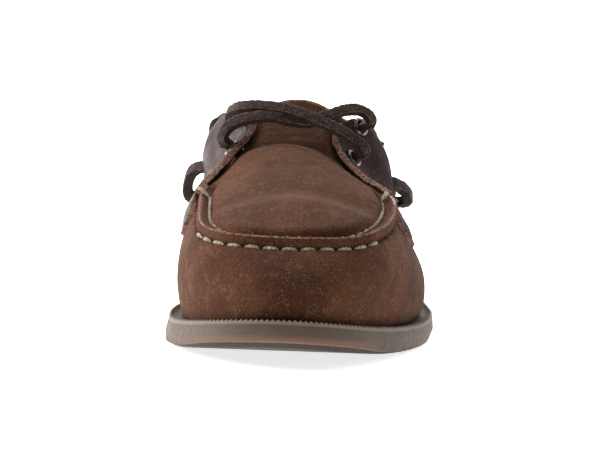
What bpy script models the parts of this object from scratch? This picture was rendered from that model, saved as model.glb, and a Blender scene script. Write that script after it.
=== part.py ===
# Boat shoe, left foot, standing on its sole. Toe towards -Y, lateral side towards +X, up +Z.
# The origin is on the floor, under the middle of the sole's outline box.
# Sizes are in millimetres until a mesh is made, which scales them by MM.

import math

import bmesh
import bpy
import numpy as np
from mathutils import Vector

MM = 0.001

# Driving sizes of the last
LENGTH = 292.0          # outsole, heel to toe
BALL = 108.0            # outsole, across the ball
INSTEP = 78.0           # top of the flaps above the top of the sole
FORE_THICK = 10.0       # sole under the ball
HEEL_THICK = 20.0       # sole under the heel
SPRING = 8.5            # toe tip above the floor
ARCH = 3.5              # waist above the floor

# Walls, clearances and small sizes
GAP = 0.3
FACET_GAP = 0.4         # between leather pieces, whose flat facets are not quite parallel
WALL = 1.8
QUARTER_WALL = 1.9
TONGUE_WALL = 2.2
INSOLE_THICK = 3.0
LEDGE = 6.4             # sole edge to the foot of the upper
RIDGE = 4.6             # raised seam around the plug
RIDGE_PROUD = 1.7       # ridge above the plug
PLUG_WALL = 1.8
PLUG_BURY = 0.55        # how deep the plug's edge sits in the wall, as a share of the wall
PLUG_CROWDING = 1.6     # how much closer its sections lie at the toe
RIM = 0.8               # raised rim on the sole's edge
RIM_WIDTH = 1.2
FLARE = 1.2             # sole's widest line beyond its rim
CORNER = ((3.2, 0.0), (0.8, 1.2), (0.0, 3.4))    # the bottom edge's rounding: in, up
LACE_WIDE = 4.4
LACE_THICK = 2.8
LACE_SINK = 0.5          # how far the two bars press into each other where they cross
TONGUE_CLEAR = 0.6       # tongue to the lace over it
TONGUE_LEAN = (0.0, -0.55, 0.83)    # the way its outer face looks
TONGUE_DOWN = (0.0, 0.5, -1.0)      # the way its thickness is laid off
TONGUE_ASIDE = 0.01                 # towards the medial side, a share of BALL
COLLAR_LACE = 3.4
COLLAR_LACE_THICK = 2.9
EYELET_OUTER = 9.4
EYELET_HOLE = 5.0
EYELET_SHANK = 6.4
EYELET_SIDES = 12
EYELET_CUT = 12.0       # length of the tool that cuts its hole
EYELET_RIM = 1.1        # how far the eyelet's rolled rim stands up
EYELET_SEAT = 0.09       # rim above the highest of the flap under it, a share of EYELET_OUTER

# Base colours
NUBUCK = (0.16, 0.075, 0.042)
OILED = (0.045, 0.026, 0.024)
RAWHIDE = (0.05, 0.03, 0.027)
LINING = (0.30, 0.17, 0.09)
RUBBER = (0.14, 0.10, 0.075)
METAL = (0.55, 0.52, 0.48)

# The last, a row for each section around the foot, from the heel's back along the medial side,
# round the toe and back along the lateral side.
# foot_along, foot_across: the sole's outline, shares of LENGTH from the heel and of BALL
# top_along, top_across, top_rise: the upper's top line, shares of LENGTH, BALL and INSTEP
# belly, shoulder: how far the wall swells low and high, shares of BALL
# lean: how far the last few millimetres below the top line lean inwards for each one they rise
LAST = (
    (0.000, 0.000, 0.022, 0.000, 0.715, 0.038, 0.034, 0.25),
    (0.040, -0.248, 0.046, -0.150, 0.695, 0.042, 0.052, 0.25),
    (0.140, -0.345, 0.120, -0.235, 0.620, 0.050, 0.070, 0.20),
    (0.265, -0.335, 0.255, -0.275, 0.545, 0.045, 0.055, 0.15),
    (0.385, -0.305, 0.400, -0.295, 0.630, 0.040, 0.050, 0.20),
    (0.495, -0.325, 0.500, -0.262, 0.915, 0.045, 0.105, 0.50),
    (0.600, -0.395, 0.552, -0.165, 0.895, 0.045, 0.120, 0.80),
    (0.670, -0.443, 0.612, -0.275, 0.775, 0.040, 0.080, 0.70),
    (0.735, -0.460, 0.685, -0.362, 0.650, 0.038, 0.050, 0.35),
    (0.805, -0.448, 0.760, -0.378, 0.580, 0.036, 0.050, 0.25),
    (0.880, -0.400, 0.842, -0.350, 0.500, 0.034, 0.060, 0.25),
    (0.946, -0.312, 0.898, -0.255, 0.450, 0.032, 0.080, 0.25),
    (0.987, -0.178, 0.916, -0.135, 0.435, 0.035, 0.090, 0.25),
    (1.000, -0.035, 0.920, -0.015, 0.430, 0.035, 0.090, 0.25),
    (0.985, 0.115, 0.914, 0.100, 0.435, 0.035, 0.090, 0.25),
    (0.938, 0.258, 0.896, 0.218, 0.450, 0.038, 0.085, 0.25),
    (0.866, 0.376, 0.850, 0.312, 0.500, 0.045, 0.075, 0.25),
    (0.775, 0.480, 0.768, 0.360, 0.560, 0.062, 0.070, 0.25),
    (0.690, 0.528, 0.690, 0.336, 0.620, 0.064, 0.065, 0.35),
    (0.610, 0.526, 0.622, 0.208, 0.705, 0.055, 0.080, 0.70),
    (0.530, 0.492, 0.558, 0.125, 0.880, 0.050, 0.085, 0.80),
    (0.450, 0.443, 0.500, 0.235, 0.895, 0.045, 0.070, 0.50),
    (0.360, 0.405, 0.400, 0.270, 0.630, 0.045, 0.050, 0.20),
    (0.255, 0.375, 0.255, 0.260, 0.545, 0.045, 0.055, 0.15),
    (0.140, 0.345, 0.120, 0.235, 0.620, 0.050, 0.070, 0.20),
    (0.040, 0.248, 0.046, 0.150, 0.695, 0.042, 0.052, 0.25),
)
LAST_COLUMNS = ("foot_along", "foot_across", "top_along", "top_across", "top_rise",
                "belly", "shoulder", "lean")
TOE_ROW = 13.0
RIDGE_END_ROWS = (8.0, 18.0)
PLUG_PAST = 1.7          # rows that the plug's sides follow the top line past the ridge's ends

# The wall's profile is a curve up to BAND_SHARE of its height, then a straight band
BAND_SHARE = 0.88
LOW_HANDLE = 0.32        # heights of the curve's two handles, as shares of its own height,
HIGH_HANDLE = 0.16       # from its foot and from its top

# The stations that the pieces over the last share, so that their flat facets stay parallel
STATIONS = 3            # columns for each row of the last
LEVELS = (0.0, 0.09, 0.18, 0.28, 0.38, 0.48, 0.58, 0.68, 0.78, 0.88, 1.0)
COLLAR_TOP = 0.965      # the upper's own edge at the collar, under the quarters' edge
FLAP_TOP = 0.65         # and under the flaps

# Crown of the plug from the toe back
# along: share of LENGTH; middle: rise over the sole's top, share of INSTEP
PLUG_ROWS = (
    (0.915, 0.430),
    (0.850, 0.560),
    (0.760, 0.670),
    (0.680, 0.755),
    (0.610, 0.830),
)
# The tongue from the plug back
# along: share of LENGTH; middle: rise, share of INSTEP; half: half width, share of BALL;
# drop: how far the edges lie below the middle, share of INSTEP
TONGUE_ROWS = (
    (0.650, 0.739, 0.250, 0.170),
    (0.610, 0.789, 0.235, 0.195),
    (0.570, 0.858, 0.205, 0.175),
    (0.540, 0.943, 0.200, 0.145),
    (0.522, 1.030, 0.190, 0.085),
)

# Front edge of the quarters on the last: share of the wall's height, row
QUARTER_FRONT = ((0.00, 5.90), (0.30, 6.70), (0.60, 7.40), (0.85, 7.82), (1.00, 7.95))
HEEL_SEAM = 0.03         # half the slit between the quarters at the heel, in rows
QUARTER_FOOT = 0.02      # share of the height at which they start, over the sole

# Eyelets on the flaps: row on the medial side, share of the wall's height
EYELETS = (("lower", 6.25, 0.775), ("upper", 5.35, 0.885))
# Where each bar of lace leaves the flap: row of the flap's edge
LACE_EDGES = (("lower", 6.05), ("upper", 5.75))

# The collar lace's open stretches on the medial side: first and last row, shares of height there,
# and how far its middle stands off the quarter
COLLAR_RUNS = (("front", 4.85, 4.05, 0.55, 0.50, 7.3), ("middle", 3.70, 2.95, 0.58, 0.66, 3.0),
               ("heel", 2.55, 1.85, 0.70, 0.74, 3.0))
COLLAR_RAISE = {"medial": 0.05, "lateral": -0.02}


def periodic_spline(rows):
    """A smooth closed curve through the rows of a table, its parameter the row number."""
    values = np.array(rows, float)
    count = len(values)
    system = 4 * np.eye(count) + np.roll(np.eye(count), 1, 1) + np.roll(np.eye(count), -1, 1)
    slopes = np.linalg.solve(system, 3 * (np.roll(values, -1, 0) - np.roll(values, 1, 0)))

    def at(row):
        first = math.floor(row) % count
        part = row - math.floor(row)
        start, end = values[first], values[(first + 1) % count]
        rise, fall = slopes[first], slopes[(first + 1) % count]
        return (start * (1 + 2 * part) * (1 - part) ** 2 + end * part ** 2 * (3 - 2 * part)
                + rise * part * (1 - part) ** 2 - fall * part ** 2 * (1 - part))

    return at


LAST_AT = periodic_spline(LAST)
ROWS = len(LAST)


def last_row(row):
    """The columns of the LAST table by name, at any place round the last."""
    return dict(zip(LAST_COLUMNS, LAST_AT(row)))


def eased(low, high, value):
    share = min(max((value - low) / (high - low), 0.0), 1.0)
    return share * share * (3 - 2 * share)


def table_at(table, value, column=1):
    """A column of a table read smoothly at a value of its first column."""
    places = [row[0] for row in table]
    if places[0] > places[-1]:
        table = table[::-1]
        places = places[::-1]
    return float(np.interp(value, places, [row[column] for row in table]))


SOLE_ACROSS = [LAST_AT(0.05 * k)[1] for k in range(20 * ROWS)]
MIDDLE_ACROSS = (min(SOLE_ACROSS) + max(SOLE_ACROSS)) / 2


def x_at(across):
    return BALL * (across - MIDDLE_ACROSS)


def y_at(along):
    return LENGTH * (0.5 - along)


def along_at(y):
    return 0.5 - y / LENGTH


def outline(row):
    """A point of the sole's outline and the direction square to it."""
    step = 0.02
    here, ahead, behind = (last_row(row + shift) for shift in (0, step, -step))
    tangent = np.array([(ahead["foot_across"] - behind["foot_across"]) * BALL,
                        (behind["foot_along"] - ahead["foot_along"]) * LENGTH])
    tangent /= np.linalg.norm(tangent)
    point = np.array([x_at(here["foot_across"]), y_at(here["foot_along"])])
    return point, np.array([tangent[1], -tangent[0]])


OUT_SIGN = 1.0 if outline(TOE_ROW)[1][1] < 0 else -1.0


def foot_point(row, inset):
    """A point of the sole's outline, moved in by a distance, and its outward direction."""
    point, out = outline(row)
    out = out * OUT_SIGN
    return point - inset * out, out


# The sole's heights at a place along the shoe
SPRING_FROM = 0.745
ARCH_RISE = (0.49, 0.40)         # from the ball's flat to the waist
BREAST = 0.306
HEEL_THIN = (0.27, 0.62)         # from the heel's thickness to the forefoot's


def spring_z(along):
    return SPRING * max(0.0, (along - SPRING_FROM) / (1 - SPRING_FROM)) ** 2


def bottom_z(along):
    if along <= BREAST:
        return 0.0
    return spring_z(along) + ARCH * eased(*ARCH_RISE, along)


def foot_z(along):
    thick = HEEL_THICK + (FORE_THICK - HEEL_THICK) * eased(*HEEL_THIN, along)
    return spring_z(along) + thick


def wall_point(row, share):
    """The upper's outer surface: a row of the last and a share of the wall's height."""
    last = last_row(row)
    foot_xy, out_xy = foot_point(row, LEDGE)
    out = np.array([out_xy[0], out_xy[1], 0.0])
    up = np.array([0.0, 0.0, 1.0])
    foot = np.array([foot_xy[0], foot_xy[1], foot_z(along_at(foot_xy[1])) + GAP])
    top = np.array([x_at(last["top_across"]), y_at(last["top_along"]),
                    foot_z(last["top_along"]) + last["top_rise"] * INSTEP])
    inward = up - last["lean"] * out
    seam = top - RIDGE * inward / np.linalg.norm(inward)
    if share > BAND_SHARE:
        part = (share - BAND_SHARE) / (1 - BAND_SHARE)
        return seam + part * (top - seam)
    height = seam[2] - foot[2]
    low = foot + last["belly"] * BALL * out + LOW_HANDLE * height * up
    high = seam + last["shoulder"] * BALL * out - HIGH_HANDLE * height * up
    part = share / BAND_SHARE
    rest = 1 - part
    return (rest ** 3 * foot + 3 * rest ** 2 * part * low
            + 3 * rest * part ** 2 * high + part ** 3 * seam)


def wall_frame(row, share):
    """Point, outward normal, and directions forward round the last and up the wall."""
    around, climb = 0.06, 0.02
    low, high = max(share - climb, 0.0), min(share + climb, 1.0)
    ahead = wall_point(row + around, share) - wall_point(row - around, share)
    rising = wall_point(row, high) - wall_point(row, low)
    ahead /= np.linalg.norm(ahead)
    rising /= np.linalg.norm(rising)
    normal = np.cross(rising, ahead)
    normal /= np.linalg.norm(normal)
    if normal @ np.append(foot_point(row, 0.0)[1], 0.2) < 0:
        normal = -normal
    return wall_point(row, share), normal, ahead, rising


def skin(row, share, offset):
    point, normal, _, _ = wall_frame(row, share)
    return point + offset * normal


def mirrored(row):
    """The row on the lateral side that faces a medial one."""
    return ROWS - row


def row_facing(along, side):
    """The row whose foot lies at a place along the shoe, on the medial or lateral side."""
    low, high = (0.0, TOE_ROW) if side < 0 else (TOE_ROW, float(ROWS))
    for _ in range(40):
        middle = (low + high) / 2
        ahead = last_row(middle)["foot_along"] < along
        if ahead == (side < 0):
            low = middle
        else:
            high = middle
    return (low + high) / 2


def new_object(name, bm, colour, roughness, metallic=0.0):
    mesh = bpy.data.meshes.new(name)
    bmesh.ops.recalc_face_normals(bm, faces=bm.faces)
    bm.to_mesh(mesh)
    bm.free()
    mesh.shade_smooth()
    mesh.set_sharp_from_angle(angle=math.radians(40))
    obj = bpy.data.objects.new(name, mesh)
    bpy.context.scene.collection.objects.link(obj)
    material = bpy.data.materials.new(name)
    material.use_nodes = True
    shader = material.node_tree.nodes["Principled BSDF"]
    shader.inputs["Base Color"].default_value = (*colour, 1.0)
    shader.inputs["Roughness"].default_value = roughness
    shader.inputs["Metallic"].default_value = metallic
    mesh.materials.append(material)
    return obj


def add_grid(bm, points):
    return [[bm.verts.new(Vector(p) * MM) for p in line] for line in points]


def join_lines(bm, first, second, closed=False):
    """Quads between two lines of vertices of the same length."""
    count = len(first)
    for k in range(count if closed else count - 1):
        after = (k + 1) % count
        bm.faces.new((first[k], first[after], second[after], second[k]))


def sheet_solid(outer, inner, closed=False):
    """A solid between two grids of points; the lines of a closed one run round a ring."""
    bm = bmesh.new()
    front = add_grid(bm, outer)
    back = add_grid(bm, inner)
    for grid in (front, back):
        for first, second in zip(grid, grid[1:]):
            join_lines(bm, first, second, closed)
    join_lines(bm, front[0], back[0], closed)
    join_lines(bm, front[-1], back[-1], closed)
    if not closed:
        join_lines(bm, [line[0] for line in front], [line[0] for line in back])
        join_lines(bm, [line[-1] for line in front], [line[-1] for line in back])
    return bm


def boolean(target, cutter, operation):
    modifier = target.modifiers.new(cutter.name, "BOOLEAN")
    modifier.operation = operation
    modifier.solver = "EXACT"
    modifier.object = cutter
    cutter.hide_render = True
    cutter.display_type = "WIRE"


# Outsole and insole: rings on the outline, closed by strips from side to side

def ring_alongs():
    """Places along the sole for its strips, closer at its ends and at the heel's breast."""
    count = 26
    places = [0.5 - 0.5 * math.cos(math.pi * k / count) for k in range(1, count)]
    places = [p for p in places if abs(p - BREAST) > 0.02]
    places += [BREAST, BREAST + 0.006]
    return sorted(places)


def sole_ring(inset, height_of):
    """A ring of points round the sole: heel, medial side, toe, lateral side."""
    alongs = ring_alongs()
    rows = [0.0] + [row_facing(a, -1) for a in alongs]
    rows += [TOE_ROW] + [row_facing(a, 1) for a in reversed(alongs)]
    ring = []
    for row in rows:
        xy, _ = foot_point(row, inset)
        along = along_at(xy[1])
        if abs(last_row(row)["foot_along"] - BREAST) < 0.001:
            along = BREAST
        ring.append((xy[0], xy[1], height_of(along)))
    return ring


def cap_ring(bm, ring, height_of, across=6):
    """Closes a ring of vertices with strips between the points that face each other."""
    count = len(ring)
    half = count // 2
    lines = []
    for k in range(1, half):
        first, last = ring[k], ring[count - k]
        line = [first]
        for j in range(1, across):
            point = first.co.lerp(last.co, j / across)
            along = along_at(point.y / MM)
            edge = (first.co.z + last.co.z) / 2
            point.z = edge if abs(along - BREAST) < 0.003 else height_of(along) * MM
            line.append(bm.verts.new(point))
        line.append(last)
        lines.append(line)
    for first, second in zip(lines, lines[1:]):
        join_lines(bm, first, second)
    for tip, line in ((ring[0], lines[0]), (ring[half], lines[-1])):
        for a, b in zip(line, line[1:]):
            bm.faces.new((tip, a, b))


def ringed_solid(levels, bottom_height, top_height):
    """A solid from rings of points, bottom to top, its ends closed by strips."""
    bm = bmesh.new()
    rings = add_grid(bm, levels)
    for first, second in zip(rings, rings[1:]):
        join_lines(bm, first, second, closed=True)
    cap_ring(bm, rings[0], bottom_height)
    cap_ring(bm, rings[-1], top_height)
    return bm


def make_outsole():
    levels = [sole_ring(inset, lambda a, up=up: bottom_z(a) + up) for inset, up in CORNER]
    levels += [
        sole_ring(FLARE, lambda a: foot_z(a) + RIM),
        sole_ring(FLARE + RIM_WIDTH, lambda a: foot_z(a) + RIM),
        sole_ring(FLARE + RIM_WIDTH + RIM, foot_z),
    ]
    return new_object("outsole", ringed_solid(levels, bottom_z, foot_z), RUBBER, 0.6)


def make_insole():
    edge = LEDGE + WALL + 3 * GAP
    low = lambda a: foot_z(a) + GAP
    high = lambda a: foot_z(a) + GAP + INSOLE_THICK
    levels = [sole_ring(edge, low), sole_ring(edge, high)]
    return new_object("insole", ringed_solid(levels, low, high), LINING, 0.8)


# Upper: the wrap's wall and the plug inside its raised seam, one solid

def upper_top(row):
    """Share of the wall's height that the upper's own edge reaches, under the quarters."""
    medial = row if row <= TOE_ROW else mirrored(row)
    at_flap = eased(4.2, 4.9, medial)
    at_ridge = eased(7.62, 7.98, medial)
    level = COLLAR_TOP + (FLAP_TOP - COLLAR_TOP) * at_flap
    return level + (1.0 - level) * at_ridge


def make_wrap():
    outer = []
    inner = []
    for level in LEVELS:
        line_out = []
        line_in = []
        for k in range(ROWS * STATIONS):
            row = k / STATIONS
            share = level * upper_top(row)
            line_out.append(skin(row, share, 0.0))
            line_in.append(skin(row, share, -WALL))
        outer.append(line_out)
        inner.append(line_in)
    return new_object("upper", sheet_solid(outer, inner, closed=True), NUBUCK, 0.9)


def top_line_across(along, side):
    """Where the top line crosses a place along the shoe, on one side of the plug."""
    end = RIDGE_END_ROWS[0] - PLUG_PAST if side < 0 else RIDGE_END_ROWS[1] + PLUG_PAST
    low, high = end, TOE_ROW
    for _ in range(40):
        middle = (low + high) / 2
        if last_row(middle)["top_along"] < along:
            low = middle
        else:
            high = middle
    return (low + high) / 2


def make_plug():
    """The plug: sections from one side of the raised seam to the other, crowned between."""
    across = 10
    count = 11
    bury = PLUG_BURY * WALL
    start, end = PLUG_ROWS[0][0], PLUG_ROWS[-1][0]
    top = []
    for k in range(count):
        part = (k / (count - 1)) ** PLUG_CROWDING
        along = start + (end - start) * part
        sides = []
        for side in (-1, 1):
            row = top_line_across(along, side)
            level = upper_top(row)
            point, normal, _, rising = wall_frame(row, level)
            sides.append(point - bury * normal - RIDGE_PROUD * rising)
        middle_z = foot_z(along) + table_at(PLUG_ROWS, along) * INSTEP
        line = []
        for j in range(across + 1):
            turn = j / across
            point = sides[0] * (1 - turn) + sides[1] * turn
            crown = max(0.0, middle_z - (sides[0][2] + sides[1][2]) / 2)
            point[2] += crown * (1 - (2 * turn - 1) ** 2)
            line.append(point)
        top.append(line)
    down = np.array([0.0, 0.0, -PLUG_WALL])
    bottom = [[p + down for p in line] for line in top]
    return new_object("plug_tool", sheet_solid(top, bottom), NUBUCK, 0.9)


def make_upper():
    upper = make_wrap()
    boolean(upper, make_plug(), "UNION")
    return upper


def make_tongue():
    across = 8
    stations = 9
    first, last = TONGUE_ROWS[0][0], TONGUE_ROWS[-1][0]
    top = []
    for k in range(stations):
        along = first + (last - first) * k / (stations - 1)
        middle = foot_z(along) + table_at(TONGUE_ROWS, along, 1) * INSTEP
        half = table_at(TONGUE_ROWS, along, 2) * BALL
        drop = table_at(TONGUE_ROWS, along, 3) * INSTEP
        line = []
        for j in range(across + 1):
            turn = 2 * j / across - 1
            x = x_at(-TONGUE_ASIDE) + half * turn
            line.append(np.array([x, y_at(along), middle - drop * turn ** 2]))
        top.append(line)
    down = np.array(TONGUE_DOWN) * TONGUE_WALL
    bottom = [[p + down for p in line] for line in top]
    return new_object("tongue", sheet_solid(top, bottom), NUBUCK, 0.9)


# Quarters, cut between two larger forms of the last

def quarter_rows(share):
    """From the heel seam along the shared stations, then evenly to the slanted front edge."""
    shared = int(QUARTER_FRONT[0][1] * STATIONS) - 1
    start, end = shared / STATIONS, table_at(QUARTER_FRONT, share)
    front = 10
    rows = [HEEL_SEAM] + [k / STATIONS for k in range(1, shared)]
    return rows + [start + (end - start) * k / front for k in range(front + 1)]


def make_quarter(name, side):
    """A quarter with its flap: for each share of the height, the rows that it crosses."""
    outer = []
    inner = []
    for share in [QUARTER_FOOT] + [level * COLLAR_TOP for level in LEVELS[1:]] + [1.0]:
        rows = quarter_rows(share)
        if side > 0:
            rows = [mirrored(row) for row in reversed(rows)]
        outer.append([skin(row, share, FACET_GAP + QUARTER_WALL) for row in rows])
        inner.append([skin(row, share, FACET_GAP) for row in rows])
    return new_object(name, sheet_solid(outer, inner), OILED, 0.45)


# Eyelets through the flaps

def turned_to(normal):
    return Vector(normal).to_track_quat("Z", "Y").to_matrix().to_4x4()


def eyelet_seat(row, share):
    """How far above the last's surface the eyelet's rim clears the bent flap around it."""
    point, normal, first, _ = wall_frame(row, share)
    second = np.cross(normal, first)
    step = 0.01
    moves = np.array([wall_point(row + step, share) - point,
                      wall_point(row, share + step) - point]) / step
    plane = np.array([moves @ first, moves @ second])
    face = FACET_GAP + QUARTER_WALL
    highest = 0.0
    for k in range(16):
        turn = 2 * math.pi * k / 16
        reach = EYELET_OUTER / 2 * np.array([math.cos(turn), math.sin(turn)])
        shift = np.linalg.solve(plane, reach)
        near = skin(row + shift[0], share + shift[1], face)
        highest = max(highest, (near - point) @ normal - face)
    return face + highest + EYELET_SEAT * EYELET_OUTER


def make_eyelet(name, row, share):
    """A turned ring: a shank through the flap and a rolled rim on its outer face."""
    point, normal, _, _ = wall_frame(row, share)
    face = eyelet_seat(row, share)
    outer, hole, shank = EYELET_OUTER / 2, EYELET_HOLE / 2, EYELET_SHANK / 2
    profile = (
        (hole, GAP),
        (shank, GAP),
        (shank, face),
        (outer, face),
        (outer, face + 0.45 * EYELET_RIM),
        ((outer + hole) / 2, face + EYELET_RIM),
        (hole, face + 0.6 * EYELET_RIM),
    )
    bm = bmesh.new()
    verts = [bm.verts.new((x * MM, 0, z * MM)) for x, z in profile]
    edges = [bm.edges.new((a, b)) for a, b in zip(verts, verts[1:] + verts[:1])]
    bmesh.ops.spin(bm, geom=verts + edges, cent=(0, 0, 0), axis=(0, 0, 1), angle=2 * math.pi,
                   steps=EYELET_SIDES, use_merge=True)
    bmesh.ops.remove_doubles(bm, verts=bm.verts, dist=1e-6)
    obj = new_object(name, bm, METAL, 0.35, 1.0)
    turn = turned_to(normal)
    turn.translation = Vector(point) * MM
    obj.matrix_world = turn
    return obj


def cut_eyelet_hole(target, name, row, share):
    point, normal, _, _ = wall_frame(row, share)
    bm = bmesh.new()
    radius = (EYELET_SHANK / 2 + GAP) * MM
    bmesh.ops.create_cone(bm, cap_ends=True, segments=EYELET_SIDES, radius1=radius,
                          radius2=radius, depth=EYELET_CUT * MM)
    cutter = new_object(name, bm, METAL, 0.5)
    turn = turned_to(normal)
    turn.translation = Vector(point) * MM
    cutter.matrix_world = turn
    boolean(target, cutter, "DIFFERENCE")


# Laces

def swept_strip(points, ups, wide, thick, sides=8):
    """A lace of rounded section swept along points, its flat side facing the given ups."""
    bm = bmesh.new()
    rings = []
    count = len(points)
    for k, point in enumerate(points):
        ahead = points[min(k + 1, count - 1)] - points[max(k - 1, 0)]
        ahead = ahead / np.linalg.norm(ahead)
        up = ups[k] - (ups[k] @ ahead) * ahead
        up /= np.linalg.norm(up)
        side = np.cross(ahead, up)
        ring = []
        for j in range(sides):
            turn = 2 * math.pi * (j + 0.5) / sides
            ring.append(point + side * math.cos(turn) * wide / 2 + up * math.sin(turn) * thick / 2)
        rings.append(ring)
    made = add_grid(bm, rings)
    for first, second in zip(made, made[1:]):
        join_lines(bm, first, second, closed=True)
    bm.faces.new(made[0])
    bm.faces.new(made[-1])
    return bm


def smooth_route(knots, count):
    """Evenly numbered points on a smooth curve through a few knots."""
    knots = [np.array(k, float) for k in knots]
    padded = [2 * knots[0] - knots[1]] + knots + [2 * knots[-1] - knots[-2]]
    route = []
    pieces = len(knots) - 1
    for k in range(count + 1):
        place = pieces * k / count
        first = min(int(place), pieces - 1)
        t = place - first
        a, b, c, d = padded[first:first + 4]
        route.append(0.5 * (2 * b + (c - a) * t + (2 * a - 5 * b + 4 * c - d) * t * t
                            + (3 * b - a - 3 * c + d) * t ** 3))
    return route


def collar_lace(name, rows, shares, bow, side):
    """An open stretch of the collar lace, bowed out between two holes of the quarter."""
    count = 8
    lift = GAP + FACET_GAP + QUARTER_WALL + COLLAR_LACE_THICK / 2
    points = []
    ups = []
    for k in range(count + 1):
        part = k / count
        row = rows[0] + (rows[1] - rows[0]) * part
        share = shares[0] + (shares[1] - shares[0]) * part
        if side > 0:
            row = mirrored(row)
        point, normal, _, _ = wall_frame(row, share)
        points.append(point + (lift + bow * math.sin(math.pi * part)) * normal)
        ups.append(normal)
    bm = swept_strip(points, ups, COLLAR_LACE, COLLAR_LACE_THICK, sides=6)
    return new_object(name, bm, RAWHIDE, 0.75)


def tongue_middle(along):
    return foot_z(along) + table_at(TONGUE_ROWS, along) * INSTEP


def lace_bar(start, start_edge, end, end_edge, layer):
    """A bar of lace from over one eyelet, over the flaps' edges and the tongue, to another."""
    over_eyelet = EYELET_RIM + 3 * GAP + LACE_THICK / 2
    over_edge = FACET_GAP + QUARTER_WALL + 3 * GAP + LACE_THICK / 2
    first = skin(*start, eyelet_seat(*start) + over_eyelet)
    last = skin(*end, eyelet_seat(*end) + over_eyelet)
    second, fourth = skin(start_edge, 1.0, over_edge), skin(end_edge, 1.0, over_edge)
    middle = (second + fourth) / 2
    lift = (TONGUE_CLEAR + LACE_THICK / 2) / TONGUE_LEAN[2] + layer * (LACE_THICK - LACE_SINK)
    middle[2] = max(tongue_middle(along_at(middle[1])) + lift, middle[2])
    tongue_up = np.array(TONGUE_LEAN)
    knots = [first, second, middle, fourth, last]
    knot_ups = [wall_frame(*start)[1], wall_frame(start_edge, 1.0)[1], tongue_up,
                wall_frame(end_edge, 1.0)[1], wall_frame(*end)[1]]
    steps = 20
    return swept_strip(smooth_route(knots, steps), smooth_route(knot_ups, steps),
                       LACE_WIDE, LACE_THICK)


def make_crossing():
    """The two bars of lace that cross over the tongue, lying on each other, as one solid."""
    places = {name: (row, share) for name, row, share in EYELETS}
    facing = {name: (mirrored(row), share) for name, row, share in EYELETS}
    edges = {name: row for name, row in LACE_EDGES}
    under = lace_bar(places["lower"], edges["lower"], facing["upper"], mirrored(edges["upper"]), 0)
    over = lace_bar(places["upper"], edges["upper"], facing["lower"], mirrored(edges["lower"]), 1)
    crossing = new_object("lace_crossing", under, RAWHIDE, 0.75)
    boolean(crossing, new_object("lace_bar_tool", over, RAWHIDE, 0.75), "UNION")
    return crossing


def build():
    for obj in list(bpy.data.objects):
        bpy.data.objects.remove(obj, do_unlink=True)
    make_outsole()
    make_insole()
    make_upper()
    make_tongue()
    for label, side in (("medial", -1), ("lateral", 1)):
        quarter = make_quarter(f"quarter_{label}", side)
        for name, row, share in EYELETS:
            here = row if side < 0 else mirrored(row)
            make_eyelet(f"eyelet_{label}_{name}", here, share)
            cut_eyelet_hole(quarter, f"hole_{label}_{name}", here, share)
        for name, first, last, low, high, bow in COLLAR_RUNS:
            shares = [share + COLLAR_RAISE[label] for share in (low, high)]
            collar_lace(f"collar_lace_{label}_{name}", (first, last), shares, bow, side)
    make_crossing()


build()
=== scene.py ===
import math

import bmesh
import bpy
import numpy as np
from mathutils import Matrix, Vector, noise


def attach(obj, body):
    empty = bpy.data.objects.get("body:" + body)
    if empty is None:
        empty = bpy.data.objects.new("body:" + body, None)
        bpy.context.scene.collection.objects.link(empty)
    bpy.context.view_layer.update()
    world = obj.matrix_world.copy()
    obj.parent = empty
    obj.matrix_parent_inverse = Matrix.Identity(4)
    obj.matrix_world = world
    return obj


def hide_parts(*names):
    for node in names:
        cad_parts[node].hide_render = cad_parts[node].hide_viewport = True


# Boat shoe, left foot, standing empty on its sole. Toe towards -Y, lateral side towards +X, up +Z.
# Sizes are in millimetres until a mesh is made, which scales them by MM.

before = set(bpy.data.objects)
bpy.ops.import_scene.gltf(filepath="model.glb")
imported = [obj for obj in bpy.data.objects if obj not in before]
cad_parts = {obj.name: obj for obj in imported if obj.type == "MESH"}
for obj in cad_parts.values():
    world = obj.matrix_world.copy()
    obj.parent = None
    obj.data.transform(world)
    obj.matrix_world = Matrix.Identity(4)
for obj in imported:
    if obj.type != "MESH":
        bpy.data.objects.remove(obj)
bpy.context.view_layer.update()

MM = 0.001               # metres in a millimetre

# Driving sizes of the last, as in the part
LENGTH = 292.0
BALL = 108.0
INSTEP = 78.0
FORE_THICK = 10.0
HEEL_THICK = 20.0
SPRING = 8.5
ARCH = 3.5
GAP = 0.3
FACET_GAP = 0.4
WALL = 1.8
QUARTER_WALL = 1.9
TONGUE_WALL = 2.2
LEDGE = 6.4
RIDGE = 4.6
RIDGE_PROUD = 1.7
INSOLE_THICK = 3.0
FLARE = 1.2

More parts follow.
